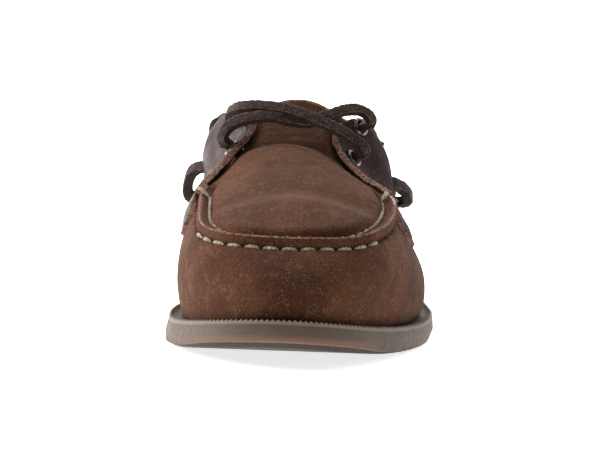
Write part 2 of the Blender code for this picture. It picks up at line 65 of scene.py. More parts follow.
# The last, a row for each section around the foot, from the heel's back along the medial side,
# round the toe and back along the lateral side
LAST_COLUMNS = ("foot_along", "foot_across", "top_along", "top_across", "top_rise",
                "belly", "shoulder", "lean")
LAST = np.array((
    (0.000, 0.000, 0.022, 0.000, 0.715, 0.038, 0.034, 0.25),
    (0.040, -0.248, 0.046, -0.150, 0.695, 0.042, 0.052, 0.25),
    (0.140, -0.345, 0.120, -0.235, 0.620, 0.050, 0.070, 0.20),
    (0.265, -0.335, 0.255, -0.275, 0.545, 0.045, 0.055, 0.15),
    (0.385, -0.305, 0.400, -0.295, 0.630, 0.040, 0.050, 0.20),
    (0.495, -0.325, 0.500, -0.262, 0.915, 0.045, 0.105, 0.50),
    (0.600, -0.395, 0.552, -0.165, 0.895, 0.045, 0.120, 0.80),
    (0.670, -0.443, 0.612, -0.275, 0.775, 0.040, 0.080, 0.70),
    (0.735, -0.460, 0.685, -0.362, 0.650, 0.038, 0.050, 0.35),
    (0.805, -0.448, 0.760, -0.378, 0.580, 0.036, 0.050, 0.25),
    (0.880, -0.400, 0.842, -0.350, 0.500, 0.034, 0.060, 0.25),
    (0.946, -0.312, 0.898, -0.255, 0.450, 0.032, 0.080, 0.25),
    (0.987, -0.178, 0.916, -0.135, 0.435, 0.035, 0.090, 0.25),
    (1.000, -0.035, 0.920, -0.015, 0.430, 0.035, 0.090, 0.25),
    (0.985, 0.115, 0.914, 0.100, 0.435, 0.035, 0.090, 0.25),
    (0.938, 0.258, 0.896, 0.218, 0.450, 0.038, 0.085, 0.25),
    (0.866, 0.376, 0.850, 0.312, 0.500, 0.045, 0.075, 0.25),
    (0.775, 0.480, 0.768, 0.360, 0.560, 0.062, 0.070, 0.25),
    (0.690, 0.528, 0.690, 0.336, 0.620, 0.064, 0.065, 0.35),
    (0.610, 0.526, 0.622, 0.208, 0.705, 0.055, 0.080, 0.70),
    (0.530, 0.492, 0.558, 0.125, 0.880, 0.050, 0.085, 0.80),
    (0.450, 0.443, 0.500, 0.235, 0.895, 0.045, 0.070, 0.50),
    (0.360, 0.405, 0.400, 0.270, 0.630, 0.045, 0.050, 0.20),
    (0.255, 0.375, 0.255, 0.260, 0.545, 0.045, 0.055, 0.15),
    (0.140, 0.345, 0.120, 0.235, 0.620, 0.050, 0.070, 0.20),
    (0.040, 0.248, 0.046, 0.150, 0.695, 0.042, 0.052, 0.25),
))
ROWS = len(LAST)
TOE_ROW = 13.0
RIDGE_ROWS = (8.0, 18.0)
BAND_SHARE = 0.88
LOW_HANDLE = 0.32
HIGH_HANDLE = 0.16
COLLAR_TOP = 0.965
FLAP_TOP = 0.65
SPRING_FROM = 0.745
BREAST = 0.306

# along; rise of the middle, share of INSTEP; half width, share of BALL
TONGUE_ROWS = np.array(((0.522, 1.030, 0.190), (0.540, 0.940, 0.200), (0.570, 0.855, 0.205),
                        (0.610, 0.785, 0.235), (0.650, 0.735, 0.250)))
# share of the wall's height; row of the front edge
QUARTER_FRONT = np.array(((0.00, 5.90), (0.30, 6.80), (0.45, 7.60), (0.56, 8.40), (0.66, 8.70),
                          (0.78, 8.80)))
FLAP_CORNER = {"medial": 8.40, "lateral": 7.95}       # row of its top front corner
SIDES = {"medial": -1, "lateral": 1}
HEEL_SEAM = 0.03
QUARTER_FOOT = 0.02

EYELETS = (("lower", 6.25, 0.775), ("upper", 5.35, 0.885))       # name, row, share of the wall's height
EYELET_OUTER = 9.4
EYELET_HOLE = 5.0
EYELET_SHANK = 6.4
# name, first and last row, first and last share of the wall's height, how far it bows out
COLLAR_RUNS = (("front", 4.85, 4.05, 0.60, 0.43, 7.3), ("middle", 3.70, 2.95, 0.58, 0.66, 2.0),
               ("heel", 2.55, 1.85, 0.70, 0.74, 0.8))
COLLAR_RAISE = {"medial": 0.05, "lateral": -0.02}


# The last's surface

def spline_slopes(values):
    count = len(values)
    system = 4 * np.eye(count) + np.roll(np.eye(count), 1, 1) + np.roll(np.eye(count), -1, 1)
    return np.linalg.solve(system, 3 * (np.roll(values, -1, 0) - np.roll(values, 1, 0)))


SLOPES = spline_slopes(LAST)


def last_at(rows):
    """The LAST table's columns by name on a smooth closed curve, at any rows."""
    rows = np.asarray(rows, float)
    first = np.floor(rows).astype(int) % ROWS
    after = (first + 1) % ROWS
    part = (rows - np.floor(rows))[..., None]
    values = (LAST[first] * (1 + 2 * part) * (1 - part) ** 2 + LAST[after] * part ** 2 * (3 - 2 * part)
              + SLOPES[first] * part * (1 - part) ** 2 - SLOPES[after] * part ** 2 * (1 - part))
    return {name: values[..., k] for k, name in enumerate(LAST_COLUMNS)}


ACROSS = last_at(np.arange(0, ROWS, 0.05))["foot_across"]
MIDDLE_ACROSS = (ACROSS.min() + ACROSS.max()) / 2


def x_at(across):
    return BALL * (across - MIDDLE_ACROSS)


MIDDLE_X = x_at(0.0)


def y_at(along):
    return LENGTH * (0.5 - along)


def along_at(y):
    return 0.5 - y / LENGTH


def eased(low, high, value):
    share = np.clip((value - low) / (high - low), 0.0, 1.0)
    return share * share * (3 - 2 * share)


def between(value, start, full, leave, end):
    """Rises smoothly from 0 at start to 1 at full, and falls back from leave to end."""
    return eased(start, full, value) * (1 - eased(leave, end, value))


def hump(away, spread):
    """A bell curve, 1 where away is 0."""
    return np.exp(-(away / spread) ** 2)


def foot_line(rows, inset):
    """Points of the sole's outline, moved in, and the outward directions there."""
    step = 0.02
    here, ahead, behind = (last_at(np.asarray(rows, float) + shift) for shift in (0, step, -step))
    across = (ahead["foot_across"] - behind["foot_across"]) * BALL
    along = (behind["foot_along"] - ahead["foot_along"]) * LENGTH
    size = np.hypot(across, along)
    out = np.stack([along / size, -across / size], -1)
    point = np.stack([x_at(here["foot_across"]), y_at(here["foot_along"])], -1)
    return point - inset * out, out


def spring_z(along):
    return SPRING * np.maximum(0.0, (along - SPRING_FROM) / (1 - SPRING_FROM)) ** 2


def bottom_z(along):
    return np.where(along <= BREAST, 0.0, spring_z(along) + ARCH * eased(0.49, 0.40, along))


def foot_z(along):
    return spring_z(along) + HEEL_THICK + (FORE_THICK - HEEL_THICK) * eased(0.27, 0.62, along)


def joined(xy, z):
    return np.concatenate([xy, np.broadcast_to(z, xy.shape[:-1])[..., None]], -1)


def wall_points(rows, shares):
    """The upper's outer surface at rows of the last and shares of the wall's height."""
    rows, shares = np.broadcast_arrays(np.asarray(rows, float), np.asarray(shares, float))
    last = last_at(rows)
    foot_xy, out_xy = foot_line(rows, LEDGE)
    out = joined(out_xy, 0.0)
    up = np.array([0.0, 0.0, 1.0])
    foot = joined(foot_xy, foot_z(along_at(foot_xy[..., 1])) + GAP)
    top_xy = np.stack([x_at(last["top_across"]), y_at(last["top_along"])], -1)
    top = joined(top_xy, foot_z(last["top_along"]) + last["top_rise"] * INSTEP)
    inward = up - last["lean"][..., None] * out
    seam = top - RIDGE * inward / np.linalg.norm(inward, axis=-1, keepdims=True)
    height = (seam - foot)[..., 2:]
    low = foot + last["belly"][..., None] * BALL * out + LOW_HANDLE * height * up
    high = seam + last["shoulder"][..., None] * BALL * out - HIGH_HANDLE * height * up
    part = (shares / BAND_SHARE)[..., None]
    rest = 1 - part
    curve = rest ** 3 * foot + 3 * rest ** 2 * part * low + 3 * rest * part ** 2 * high + part ** 3 * seam
    band = seam + ((shares[..., None] - BAND_SHARE) / (1 - BAND_SHARE)) * (top - seam)
    return np.where(part > 1, band, curve) + lean_in(rows, shares, out)


# How far worn parts move, in millimetres
FLAP_LEAN = (3.0, -1.6, -2.4)
RIDGE_LEAN = (3.4, 0.0, 0.0)
WALL_DIPS = ((1.7, 17.6, 1.6), (0.4, 8.7, 1.3), (1.9, 7.1, 1.0))     # depth, row, spread in rows


def lean_in(rows, shares, out):
    """Worn leather leaning in: the medial flap, the ridge's medial end and the wall below both ends."""
    flap = hump(rows - 7.3, 0.75) * eased(0.74, 1.0, shares)
    ridge = hump(rows - 9.0, 1.15) * eased(0.35, 1.0, shares)
    wall = between(shares, 0.25, 0.6, 0.82, 0.97)
    wall = wall * sum(depth * hump(rows - row, spread) for depth, row, spread in WALL_DIPS)
    return flap[..., None] * FLAP_LEAN + ridge[..., None] * RIDGE_LEAN - wall[..., None] * out


def unit(vectors):
    return vectors / np.maximum(np.linalg.norm(vectors, axis=-1, keepdims=True), 1e-12)


def wall_frames(rows, shares):
    """Points, outward normals, and the directions forward round the last and up the wall."""
    around, climb = 0.06, 0.02
    rows, shares = np.broadcast_arrays(np.asarray(rows, float), np.asarray(shares, float))
    ahead = unit(wall_points(rows + around, shares) - wall_points(rows - around, shares))
    rising = unit(wall_points(rows, np.minimum(shares + climb, 1.0))
                  - wall_points(rows, np.maximum(shares - climb, 0.0)))
    normal = unit(np.cross(rising, ahead))
    outward = joined(foot_line(rows, 0.0)[1], 0.2)
    normal = normal * np.where((normal * outward).sum(-1) < 0, -1.0, 1.0)[..., None]
    return wall_points(rows, shares), normal, ahead, rising


def skin(rows, shares, offset):
    point, normal, _, _ = wall_frames(rows, shares)
    return point + np.asarray(offset, float)[..., None] * normal


def medial_row(rows):
    return np.where(rows <= TOE_ROW, rows, ROWS - rows)


def side_row(row, side):
    return row if side < 0 else ROWS - row


def upper_top(rows):
    """Share of the wall's height that the upper's own edge reaches, under the quarters."""
    medial = medial_row(rows)
    level = COLLAR_TOP + (FLAP_TOP - COLLAR_TOP) * eased(4.2, 4.9, medial)
    return level + (1.0 - level) * eased(7.62, 7.98, medial)


def run_along(points):
    """How far along a line each of its points lies."""
    return np.concatenate([[0], np.cumsum(np.linalg.norm(np.diff(points, axis=0), axis=1))])


def read_off(places, marks, table):
    """A table's columns at places between its marks."""
    return np.stack([np.interp(places, marks, column) for column in table.T], -1)


def ripple(points, size, seed=0.0):
    """Smooth noise from about -1 to 1 at each point, its lumps about `size` across."""
    return np.array([noise.noise(Vector((x / size + seed, y / size, z / size))) for x, y, z in points])


# Mesh building

WELD = 2e-6              # metres, under which points of one mesh become one

# What the materials read from a mesh: worn edges, and on a lace its upper corners painted paler, partly
# frayed and partly a painted highlight; painted shade in creases, hollows and low places; a brown line low
# on the sole, and painted shade with a rougher finish on the lateral quarter; a lace's upper face, painted
# paler, partly nap and partly painted light from above
TRAITS = ("edge", "shade", "tint_and_shade", "top")


def set_points(verts, points):
    for vert, point in zip(verts, points):
        vert.co = point * MM


def new_mesh():
    """An empty mesh with a layer for each trait that the materials read."""
    bm = bmesh.new()
    for name in TRAITS:
        bm.verts.layers.float.new(name)
    return bm


def set_trait(bm, verts, name, values):
    layer = bm.verts.layers.float[name]
    for vert, value in zip(verts, values):
        vert[layer] = value


def add_grid(bm, across, up):
    """A grid and its corners' two shares from 0 to 1."""
    made = bmesh.ops.create_grid(bm, x_segments=across, y_segments=up, size=0.5)["verts"]
    corners = np.array([v.co[:2] for v in made]) + 0.5
    return made, corners[:, 0], corners[:, 1]


def add_sheet(bm, across, up, place):
    """A grid whose corners `place` puts; it gets two arrays from 0 to 1 and gives points and traits."""
    made, first, second = add_grid(bm, across, up)
    points, traits = place(first, second)
    set_points(made, points)
    for name, values in traits.items():
        set_trait(bm, made, name, values)
    return made


def add_tube(bm, route, ups, wide, thick, sides, square=2.0, traits=()):
    """A tube along a route, its section `wide` across and `thick` along the ups."""
    steps = len(route) - 1
    made, along, around = add_grid(bm, steps, sides)
    step = np.rint(along * steps).astype(int)
    turn = 2 * math.pi * around
    ahead = unit(np.gradient(route, axis=0))
    up = unit(ups - (ups * ahead).sum(-1, keepdims=True) * ahead)
    side = np.cross(ahead, up)
    power = 2.0 / square
    cos, sin = np.cos(turn), np.sin(turn)
    right = np.sign(cos) * np.abs(cos) ** power * np.asarray(wide)[step] / 2
    rise = np.sign(sin) * np.abs(sin) ** power * np.asarray(thick)[step] / 2
    set_points(made, route[step] + side[step] * right[:, None] + up[step] * rise[:, None])
    for name, values in dict(traits).items():
        set_trait(bm, made, name, values(turn))
    bmesh.ops.remove_doubles(bm, verts=made, dist=WELD)


def finish_piece(name, bm, materials, replaces, recalculate=True):
    """The object of a finished mesh, riding on the shoe's one body."""
    if recalculate:
        bmesh.ops.recalc_face_normals(bm, faces=bm.faces)
    mesh = bpy.data.meshes.new(name)
    bm.to_mesh(mesh)
    bm.free()
    mesh.shade_smooth()
    for material in materials:
        mesh.materials.append(material)
    piece = bpy.data.objects.new(name, mesh)
    bpy.context.scene.collection.objects.link(piece)
    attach(piece, "root")
    if replaces:
        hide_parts(*replaces)
    return piece


def make_sheet(name, across, up, place, materials, replaces, closed=True):
    """The piece of one sheet; a closed one is joined where its two ends meet."""
    bm = new_mesh()
    add_sheet(bm, across, up, place)
    if closed:
        bmesh.ops.remove_doubles(bm, verts=bm.verts, dist=WELD)
    return finish_piece(name, bm, materials, replaces, recalculate=closed)


def face_away(piece, axis, middle):
    """Turns an open sheet over if most of it looks towards a place on an axis."""
    mesh = piece.data
    if sum(face.normal[axis] * (face.center[axis] - middle) * face.area for face in mesh.polygons) < 0:
        mesh.flip_normals()


def thicken(piece, wall, bevel=0.0):
    """Gives a sheet its wall, inwards, with the cut edges in the piece's second material."""
    solid = piece.modifiers.new("wall", "SOLIDIFY")
    solid.thickness = wall * MM
    solid.offset = -1.0
    solid.use_rim = True
    solid.material_offset_rim = 1
    if bevel:
        edge = piece.modifiers.new("edge", "BEVEL")
        edge.width = bevel * MM
        edge.segments = 2
        edge.limit_method = "ANGLE"
        edge.angle_limit = math.radians(50)


# Materials

def linear(code):
    """The linear colour of a six-figure web colour."""
    parts = [int(code[k:k + 2], 16) / 255 for k in (0, 2, 4)]
    return tuple(p / 12.92 if p <= 0.04045 else ((p + 0.055) / 1.055) ** 2.4 for p in parts) + (1.0,)


class Finish:
    """A material under construction: its shader and short names for the nodes that feed it."""

    def __init__(self, name, roughness, metallic=0.0):
        self.material = bpy.data.materials.new(name)
        self.material.use_nodes = True
        self.tree = self.material.node_tree
        self.shader = self.tree.nodes["Principled BSDF"]
        self.shader.inputs["Roughness"].default_value = roughness
        self.shader.inputs["Metallic"].default_value = metallic
        self.place = self.node("ShaderNodeTexCoord").outputs["Object"]
        self.tone = None

    def set(self, **values):
        for name, value in values.items():
            self.shader.inputs[name.replace("_", " ")].default_value = value

    def node(self, kind, **inputs):
        made = self.tree.nodes.new(kind)
        for name, value in inputs.items():
            self.put(made.inputs[name.replace("_", " ")], value)
        return made

    def put(self, socket, value):
        if isinstance(value, bpy.types.NodeSocket):
            self.tree.links.new(value, socket)
        else:
            socket.default_value = value

    def noise(self, lumps, detail, roughness=0.55, stretch=None, distortion=0.0):
        """Noise with lumps of a size in millimetres, from 0 to 1."""
        vector = self.place
        if stretch:
            vector = self.node("ShaderNodeMapping", Vector=vector, Scale=stretch).outputs["Vector"]
        return self.node("ShaderNodeTexNoise", Vector=vector, Scale=1.0 / (lumps * MM), Detail=detail,
                         Roughness=roughness, Distortion=distortion).outputs["Fac"]

    def trait(self, name):
        made = self.node("ShaderNodeAttribute")
        made.attribute_name = name
        return made.outputs["Fac"]

    def span(self, value, low, high, to_low=0.0, to_high=1.0):
        """A value's stretch from low to high, laid out smoothly from to_low to to_high."""
        made = self.node("ShaderNodeMapRange", Value=value, From_Min=low, From_Max=high,
                         To_Min=to_low, To_Max=to_high)
        made.interpolation_type = "SMOOTHSTEP"
        return made.outputs["Result"]

    def math(self, operation, first, second):
        made = self.tree.nodes.new("ShaderNodeMath")
        made.operation = operation
        self.put(made.inputs[0], first)
        self.put(made.inputs[1], second)
        return made.outputs[0]

    def patchy(self, name, lumps, detail, roughness, low, high, *ends):
        """A trait broken up by noise."""
        broken = self.span(self.noise(lumps, detail, roughness), low, high, *ends)
        return self.math("MULTIPLY", self.trait(name), broken)

    def layer(self, share, code, under=None):
        """Lays a colour over the tone so far, or over a first one."""
        made = self.tree.nodes.new("ShaderNodeMix")
        made.data_type = "RGBA"
        self.put(made.inputs[0], share)
        self.put(made.inputs[6], linear(under) if under else self.tone)
        self.put(made.inputs[7], linear(code))
        self.tone = made.outputs[2]

    def done(self):
        self.put(self.shader.inputs["Base Color"], self.tone)
        return self.material

    def rough(self, value):
        self.put(self.shader.inputs["Roughness"], value)

    def bump(self, height, depth, strength):
        """Relief whose height runs over a depth in millimetres."""
        made = self.node("ShaderNodeBump", Height=height, Distance=depth * MM, Strength=strength)
        previous = self.shader.inputs["Normal"]
        if previous.links:
            self.put(made.inputs["Normal"], previous.links[0].from_socket)
        self.put(previous, made.outputs["Normal"])


def nubuck():
    """Brown nubuck: soft blotches, olive and red patches, fine nap, pale fibres, worn edges."""
    finish = Finish("nubuck", 0.92)
    finish.set(Sheen_Weight=0.1, Sheen_Roughness=0.45, Sheen_Tint=linear("c79a78"), Specular_IOR_Level=0.18)
    patches = finish.noise(26, 4)
    finish.layer(finish.span(patches, 0.38, 0.62), "5f3722", under="482818")
    olive = finish.noise(34, 3, distortion=0.4)
    finish.layer(finish.span(olive, 0.52, 0.68, 0.0, 0.6), "5a3c22")
    nap = finish.noise(0.9, 5, 0.75)
    finish.layer(finish.span(nap, 0.36, 0.64, 0.0, 0.62), "26140d")
    mottle = finish.noise(3.4, 4, 0.65)
    finish.layer(finish.span(mottle, 0.52, 0.7, 0.0, 0.35), "77533b")
    speck = finish.noise(0.55, 3, 0.65, stretch=(1.0, 1.0, 0.6))
    gathered = finish.span(finish.noise(11, 3), 0.35, 0.6, 0.25, 0.8)
    finish.layer(finish.math("MULTIPLY", finish.span(speck, 0.57, 0.68), gathered), "8f6d52")
    edge = finish.patchy("edge", 1.3, 3, 0.55, 0.3, 0.7, 0.3, 1.3)
    finish.layer(finish.span(edge, 0.25, 0.75, 0.0, 0.85), "947056")
    finish.layer(finish.span(finish.trait("shade"), 0.0, 1.0, 0.0, 0.7), "1c0f0b")
    finish.bump(finish.noise(2.6, 4, 0.6), 0.28, 0.6)
    finish.bump(finish.noise(0.7, 4, 0.75), 0.3, 0.9)
    return finish.done()


def oiled_leather(name, gloss):
    """Dark oiled leather: smooth, waxy, with a fine grain, scratches and rubbed edges."""
    finish = Finish(name, 0.5)
    finish.set(Specular_IOR_Level=gloss)
    patches = finish.noise(18, 4)
    finish.layer(finish.span(patches, 0.35, 0.65), "3c2723", under="281a18")
    worn = finish.noise(3.0, 5, 0.65)
    finish.layer(finish.span(worn, 0.58, 0.75, 0.0, 0.45), "46322a")
    scratch = finish.noise(5.0, 3, 0.6, stretch=(1.0, 0.25, 3.0), distortion=0.6)
    finish.layer(finish.span(scratch, 0.62, 0.69, 0.0, 0.4), "6a564c")
    edge = finish.patchy("edge", 1.2, 3, 0.55, 0.3, 0.7, 0.3, 1.3)
    finish.layer(finish.span(edge, 0.3, 0.8, 0.0, 0.8), "6a4a3a")
    finish.layer(finish.span(finish.trait("shade"), 0.0, 1.0, 0.0, 0.8), "0f0a09")
    # Painted shade: the lateral quarter is darkened and made rougher, as it lies away from the main light
    finish.layer(finish.span(finish.trait("tint_and_shade"), 0.0, 1.0, 0.0, 0.35), "25140f")
    dull = finish.span(finish.trait("tint_and_shade"), 0.0, 1.0, 0.0, 0.3)
    finish.rough(finish.math("ADD", finish.span(worn, 0.3, 0.7, 0.36, 0.58), dull))
    finish.bump(finish.noise(1.5, 4, 0.6), 0.22, 0.5)
    finish.bump(finish.noise(0.5, 3, 0.6), 0.06, 0.6)
    return finish.done()


def raw_edge():
    """The cut edge of the leather: pale, fibrous and ragged."""
    finish = Finish("raw_edge", 0.95)
    finish.layer(finish.span(finish.noise(0.9, 4, 0.7), 0.4, 0.6), "a07862", under="4f3126")
    finish.layer(finish.span(finish.noise(0.6, 3, 0.7), 0.52, 0.66, 0.0, 0.7), "24140f")
    finish.bump(finish.noise(0.8, 4, 0.75), 0.7, 1.0)
    return finish.done()


def lining():
    finish = Finish("lining_leather", 0.7)
    finish.layer(finish.span(finish.noise(20, 4), 0.35, 0.65), "93704d", under="7b5638")
    finish.layer(finish.span(finish.noise(1.2, 4), 0.55, 0.75, 0.0, 0.4), "5a3d28")
    finish.layer(finish.span(finish.trait("shade"), 0.0, 1.0, 0.0, 0.75), "3a2618")
    finish.bump(finish.noise(0.9, 4, 0.6), 0.12, 0.7)
    return finish.done()


def rawhide():
    """Oiled rawhide lace, nearly black underneath; its upper face and upper corners are paler, partly a
    fuzzy nap and frayed fibres and partly painted light from above.
    """
    finish = Finish("rawhide", 0.72)
    finish.set(Sheen_Weight=0.06, Sheen_Roughness=0.5, Specular_IOR_Level=0.2)
    finish.layer(finish.span(finish.noise(4, 4), 0.35, 0.65), "30201c", under="1d1211")
    # Paler upper face: partly a fuzzy nap, partly painted light from above
    fuzz = finish.patchy("top", 0.9, 5, 0.7, 0.42, 0.68)
    finish.layer(finish.span(fuzz, 0.2, 0.8, 0.0, 0.5), "65503f")
    # Paler upper corners: partly frayed fibres, partly a painted highlight
    fray_and_highlight = finish.patchy("edge", 0.7, 4, 0.7, 0.35, 0.6)
    finish.layer(finish.span(fray_and_highlight, 0.2, 0.8, 0.0, 0.8), "866550")
    finish.bump(finish.noise(1.2, 4, 0.6), 0.3, 0.8)
    finish.bump(finish.noise(0.35, 3, 0.7), 0.15, 0.9)
    return finish.done()


def thread():
    finish = Finish("waxed_thread", 0.8)
    finish.layer(finish.span(finish.noise(1.4, 4), 0.35, 0.65), "bcab95", under="8a7a67")
    finish.layer(finish.span(finish.noise(0.4, 3), 0.56, 0.7, 0.0, 0.6), "3f3127")
    finish.bump(finish.noise(0.3, 3, 0.7), 0.12, 0.9)
    return finish.done()


def rubber():
    """Taupe rubber: dull and dusty, with painted shade on its ledge and along its lowest edge, and a brown
    rubbed line low on its side.
    """
    finish = Finish("sole_rubber", 0.5)
    finish.layer(finish.span(finish.noise(30, 4), 0.35, 0.65), "4f443a", under="423830")
    finish.layer(finish.trait("tint_and_shade"), "7b5843")
    scuff = finish.noise(2.2, 5, 0.7)
    finish.layer(finish.span(scuff, 0.62, 0.75, 0.0, 0.4), "9a8b7d")
    speck = finish.noise(0.7, 2)
    finish.layer(finish.span(speck, 0.74, 0.8, 0.0, 0.7), "c4b8a8")
    finish.layer(finish.span(finish.trait("edge"), 0.0, 1.0, 0.0, 0.6), "8a7765")
    finish.layer(finish.span(finish.trait("shade"), 0.0, 1.0, 0.0, 0.7), "3c2f27")
    finish.set(Specular_IOR_Level=0.42)
    finish.rough(finish.span(scuff, 0.3, 0.7, 0.5, 0.72))
    finish.bump(scuff, 0.1, 0.5)
    return finish.done()


def worn_metal():
    finish = Finish("worn_metal", 0.35, 1.0)
    finish.layer(finish.span(finish.noise(1.5, 4), 0.4, 0.62), "a89e93", under="2a211d")
    finish.rough(finish.span(finish.noise(0.8, 3), 0.3, 0.7, 0.25, 0.6))
    finish.bump(finish.noise(0.8, 3), 0.08, 0.6)
    return finish.done()


NUBUCK = nubuck()
# The lateral copy has less gloss: a shaded copy, so that side reads darker as painted shade
OILED = {"medial": oiled_leather("oiled_leather", 0.22),
         "lateral": oiled_leather("oiled_leather_shaded", 0.08)}
RAW = raw_edge()
LINING = lining()
RAWHIDE = rawhide()
THREAD = thread()
RUBBER = rubber()
METAL = worn_metal()


# Outsole

TOOTH = 2.2              # pitch of the notches along the rim
TOOTH_DEPTH = 0.8
TOOTH_COLUMNS = 6
TOOTH_ROWS = (8.3, 9.3, 16.9, 18.0)      # where the notches fade in and out
TREAD_LINE = 1.9         # height of the thin tread layer
LATERAL_WEAR = 2.4       # how far the lower edge of the outer side is worn in


def arc(middle, radius, start, end, count):
    """Points of an elliptic arc, its angles in degrees."""
    turns = np.radians(np.linspace(start, end, count))
    return [(middle[0] + radius[0] * math.cos(t), middle[1] + radius[1] * math.sin(t)) for t in turns]


def sole_profile():
    """The side of the sole as (inset, height over the bottom), then (inset, height over the foot)."""
    low = [(2.6, 0.0), (2.1, 0.12), (1.9, 0.4), (1.9, TREAD_LINE - 0.35), (1.7, TREAD_LINE - 0.1)]
    low += [(0.9, TREAD_LINE), (0.35, TREAD_LINE + 0.12), (0.06, TREAD_LINE + 0.45), (0.0, TREAD_LINE + 0.9),
            (0.15, 5.0)]
    rim = [(FLARE - 0.15, -1.6), (FLARE - 0.02, -0.75), (FLARE, 0.15), (FLARE + 0.12, 0.55),
           (FLARE + 0.4, 0.75), (FLARE + 0.9, 0.7), (FLARE + 1.25, 0.35), (FLARE + 1.45, 0.0),
           (LEDGE - 0.6, -0.1), (LEDGE + 1.5, -0.4), (LEDGE + 4.0, -0.4)]
    return low, rim


def sole_spine(y, sway):
    """The line down the sole's middle that its flat faces spread from."""
    along = along_at(y)
    return np.stack([MIDDLE_X + sway * between(along, 0.3, 0.65, 0.7, 1.0), y], -1)


def rows_by_length(count):
    """Rows spaced evenly along the sole's outline."""
    rows = np.linspace(0, ROWS, 4001)
    run = run_along(foot_line(rows, 0.0)[0])
    return np.interp(np.linspace(0, run[-1], count + 1), run, rows), run[-1]


def make_outsole():
    _, around = rows_by_length(10)
    columns = round(around / TOOTH) * TOOTH_COLUMNS
    rows_of, _ = rows_by_length(columns)
    low, rim = sole_profile()
    table = np.array(low + rim)
    tread_steps = 9
    stages = tread_steps + len(low) + len(rim)

    def place(u, v):
        column = np.rint(u * columns).astype(int)
        stage = np.rint(v * (stages - 1)).astype(int)
        rows = rows_of[column]
        on_low = stage - tread_steps
        on_rim = on_low - len(low)
        entry = table[np.clip(on_low, 0, len(table) - 1)]
        inset, height = entry[:, 0], entry[:, 1]
        toe_only = between(rows, 9.6, 11.4, 14.6, 16.2)
        # The tread layer is at its full height round the toe only
        height = np.where((on_low >= 2) & (on_low <= 8), height * (0.4 + 0.6 * toe_only), height)
        lateral_wear = between(rows, 14.5, 16.5, 19.5, 21.0)
        lower = (on_rim < 0) & (on_low >= 0)
        inset = inset + np.where(lower, LATERAL_WEAR * lateral_wear * (1 - eased(0.0, 7.5, height)), 0.0)
        xy, out = foot_line(rows, 0.0)
        xy = xy - inset[:, None] * out
        spread = np.clip(stage / tread_steps, 0, 1)[:, None]
        spine = sole_spine(xy[:, 1], 7.0)
        xy = np.where(stage[:, None] < tread_steps, spine + (xy - spine) * spread, xy)
        along = along_at(xy[:, 1])
        z = np.where(on_rim >= 0, foot_z(along) + height, bottom_z(along) + height)
        z = np.where(on_low < 0, bottom_z(along), z)
        # Notches across the crest of the rim, deep round the toe and faint behind it
        fade = between(rows, *TOOTH_ROWS)
        tooth = np.abs((column % TOOTH_COLUMNS) / TOOTH_COLUMNS * 2 - 1)
        crest = np.where((on_rim >= 2) & (on_rim <= 6), 1.0, 0.0)
        z = z - TOOTH_DEPTH * crest * (0.12 + 0.88 * fade) * (1 - tooth) * (fade > 0.02)
        points = joined(xy, z)
        rise = z - bottom_z(along)
        traits = {
            "tint_and_shade": np.where(on_low >= 5, hump(rise - 3.2, 1.5), 0.0) * 0.8,
            "edge": np.where((on_rim >= 1) & (on_rim <= 5), 0.8, 0.0) + np.where(on_low == 6, 0.9, 0.0),
            "shade": np.where(on_rim >= 6, 0.75 + 0.25 * eased(FLARE + 1.9, LEDGE - 0.4, inset), 0.0)
            + np.where((on_low >= 0) & (on_low <= 4), 0.85, 0.0),
        }
        return points, traits

    make_sheet("outsole_rubber", columns, stages - 1, place, [RUBBER], ["outsole"])


# Insole

def make_insole():
    edge = LEDGE + WALL + 3 * GAP
    columns, rings = 220, 26
    rows_of, _ = rows_by_length(columns)

    def place(u, v):
        rows = rows_of[np.rint(u * columns).astype(int)]
        xy, _ = foot_line(rows, edge)
        spine = sole_spine(xy[:, 1], 6.0)
        spread = np.minimum(v / 0.9, 1.0)[:, None]
        xy = spine + (xy - spine) * spread
        reach = np.linalg.norm(xy - spine, axis=1)
        along = along_at(xy[:, 1])
        tread = 0.5 * hump(along - 0.68, 0.07) + 0.6 * hump(along - 0.13, 0.07)
        dish = -0.4 * tread * hump(reach, 22)
        z = foot_z(along) + GAP + INSOLE_THICK + dish - 2.6 * np.maximum(0, (v - 0.9) / 0.1)
        z = z - 0.5 * eased(0.8, 0.9, v)
        return joined(xy, z), {"shade": 0.35 * tread + 0.5 * eased(0.75, 0.95, v)}

    make_sheet("insole_sock", columns, rings, place, [LINING], ["insole"])


# Upper

STITCH_PITCH = 7.2
STITCH_ROWS = (10.05, 16.0)              # where the outer stitches show
SEAM_SHARE = BAND_SHARE - 0.006
VAMP_CREASES = ((8.9, 0.9, 0.25), (9.6, 1.1, 0.15))      # row, lean in rows, depth
MM_PER_SHARE = 38.0      # up the wall, just below the seam


def seam_run():
    """Rows along the sewn seam and how far round it each lies."""
    rows = np.linspace(RIDGE_ROWS[0] - 0.1, RIDGE_ROWS[1] + 0.1, 1200)
    return rows, run_along(wall_points(rows, SEAM_SHARE))


SEAM_ROWS, SEAM_RUN = seam_run()


def over_seam(shares):
    """Millimetres above the sewn seam, negative below it."""
    above = (shares - BAND_SHARE) / (1 - BAND_SHARE) * RIDGE
    return np.where(shares > BAND_SHARE, above, (shares - BAND_SHARE) * MM_PER_SHARE)


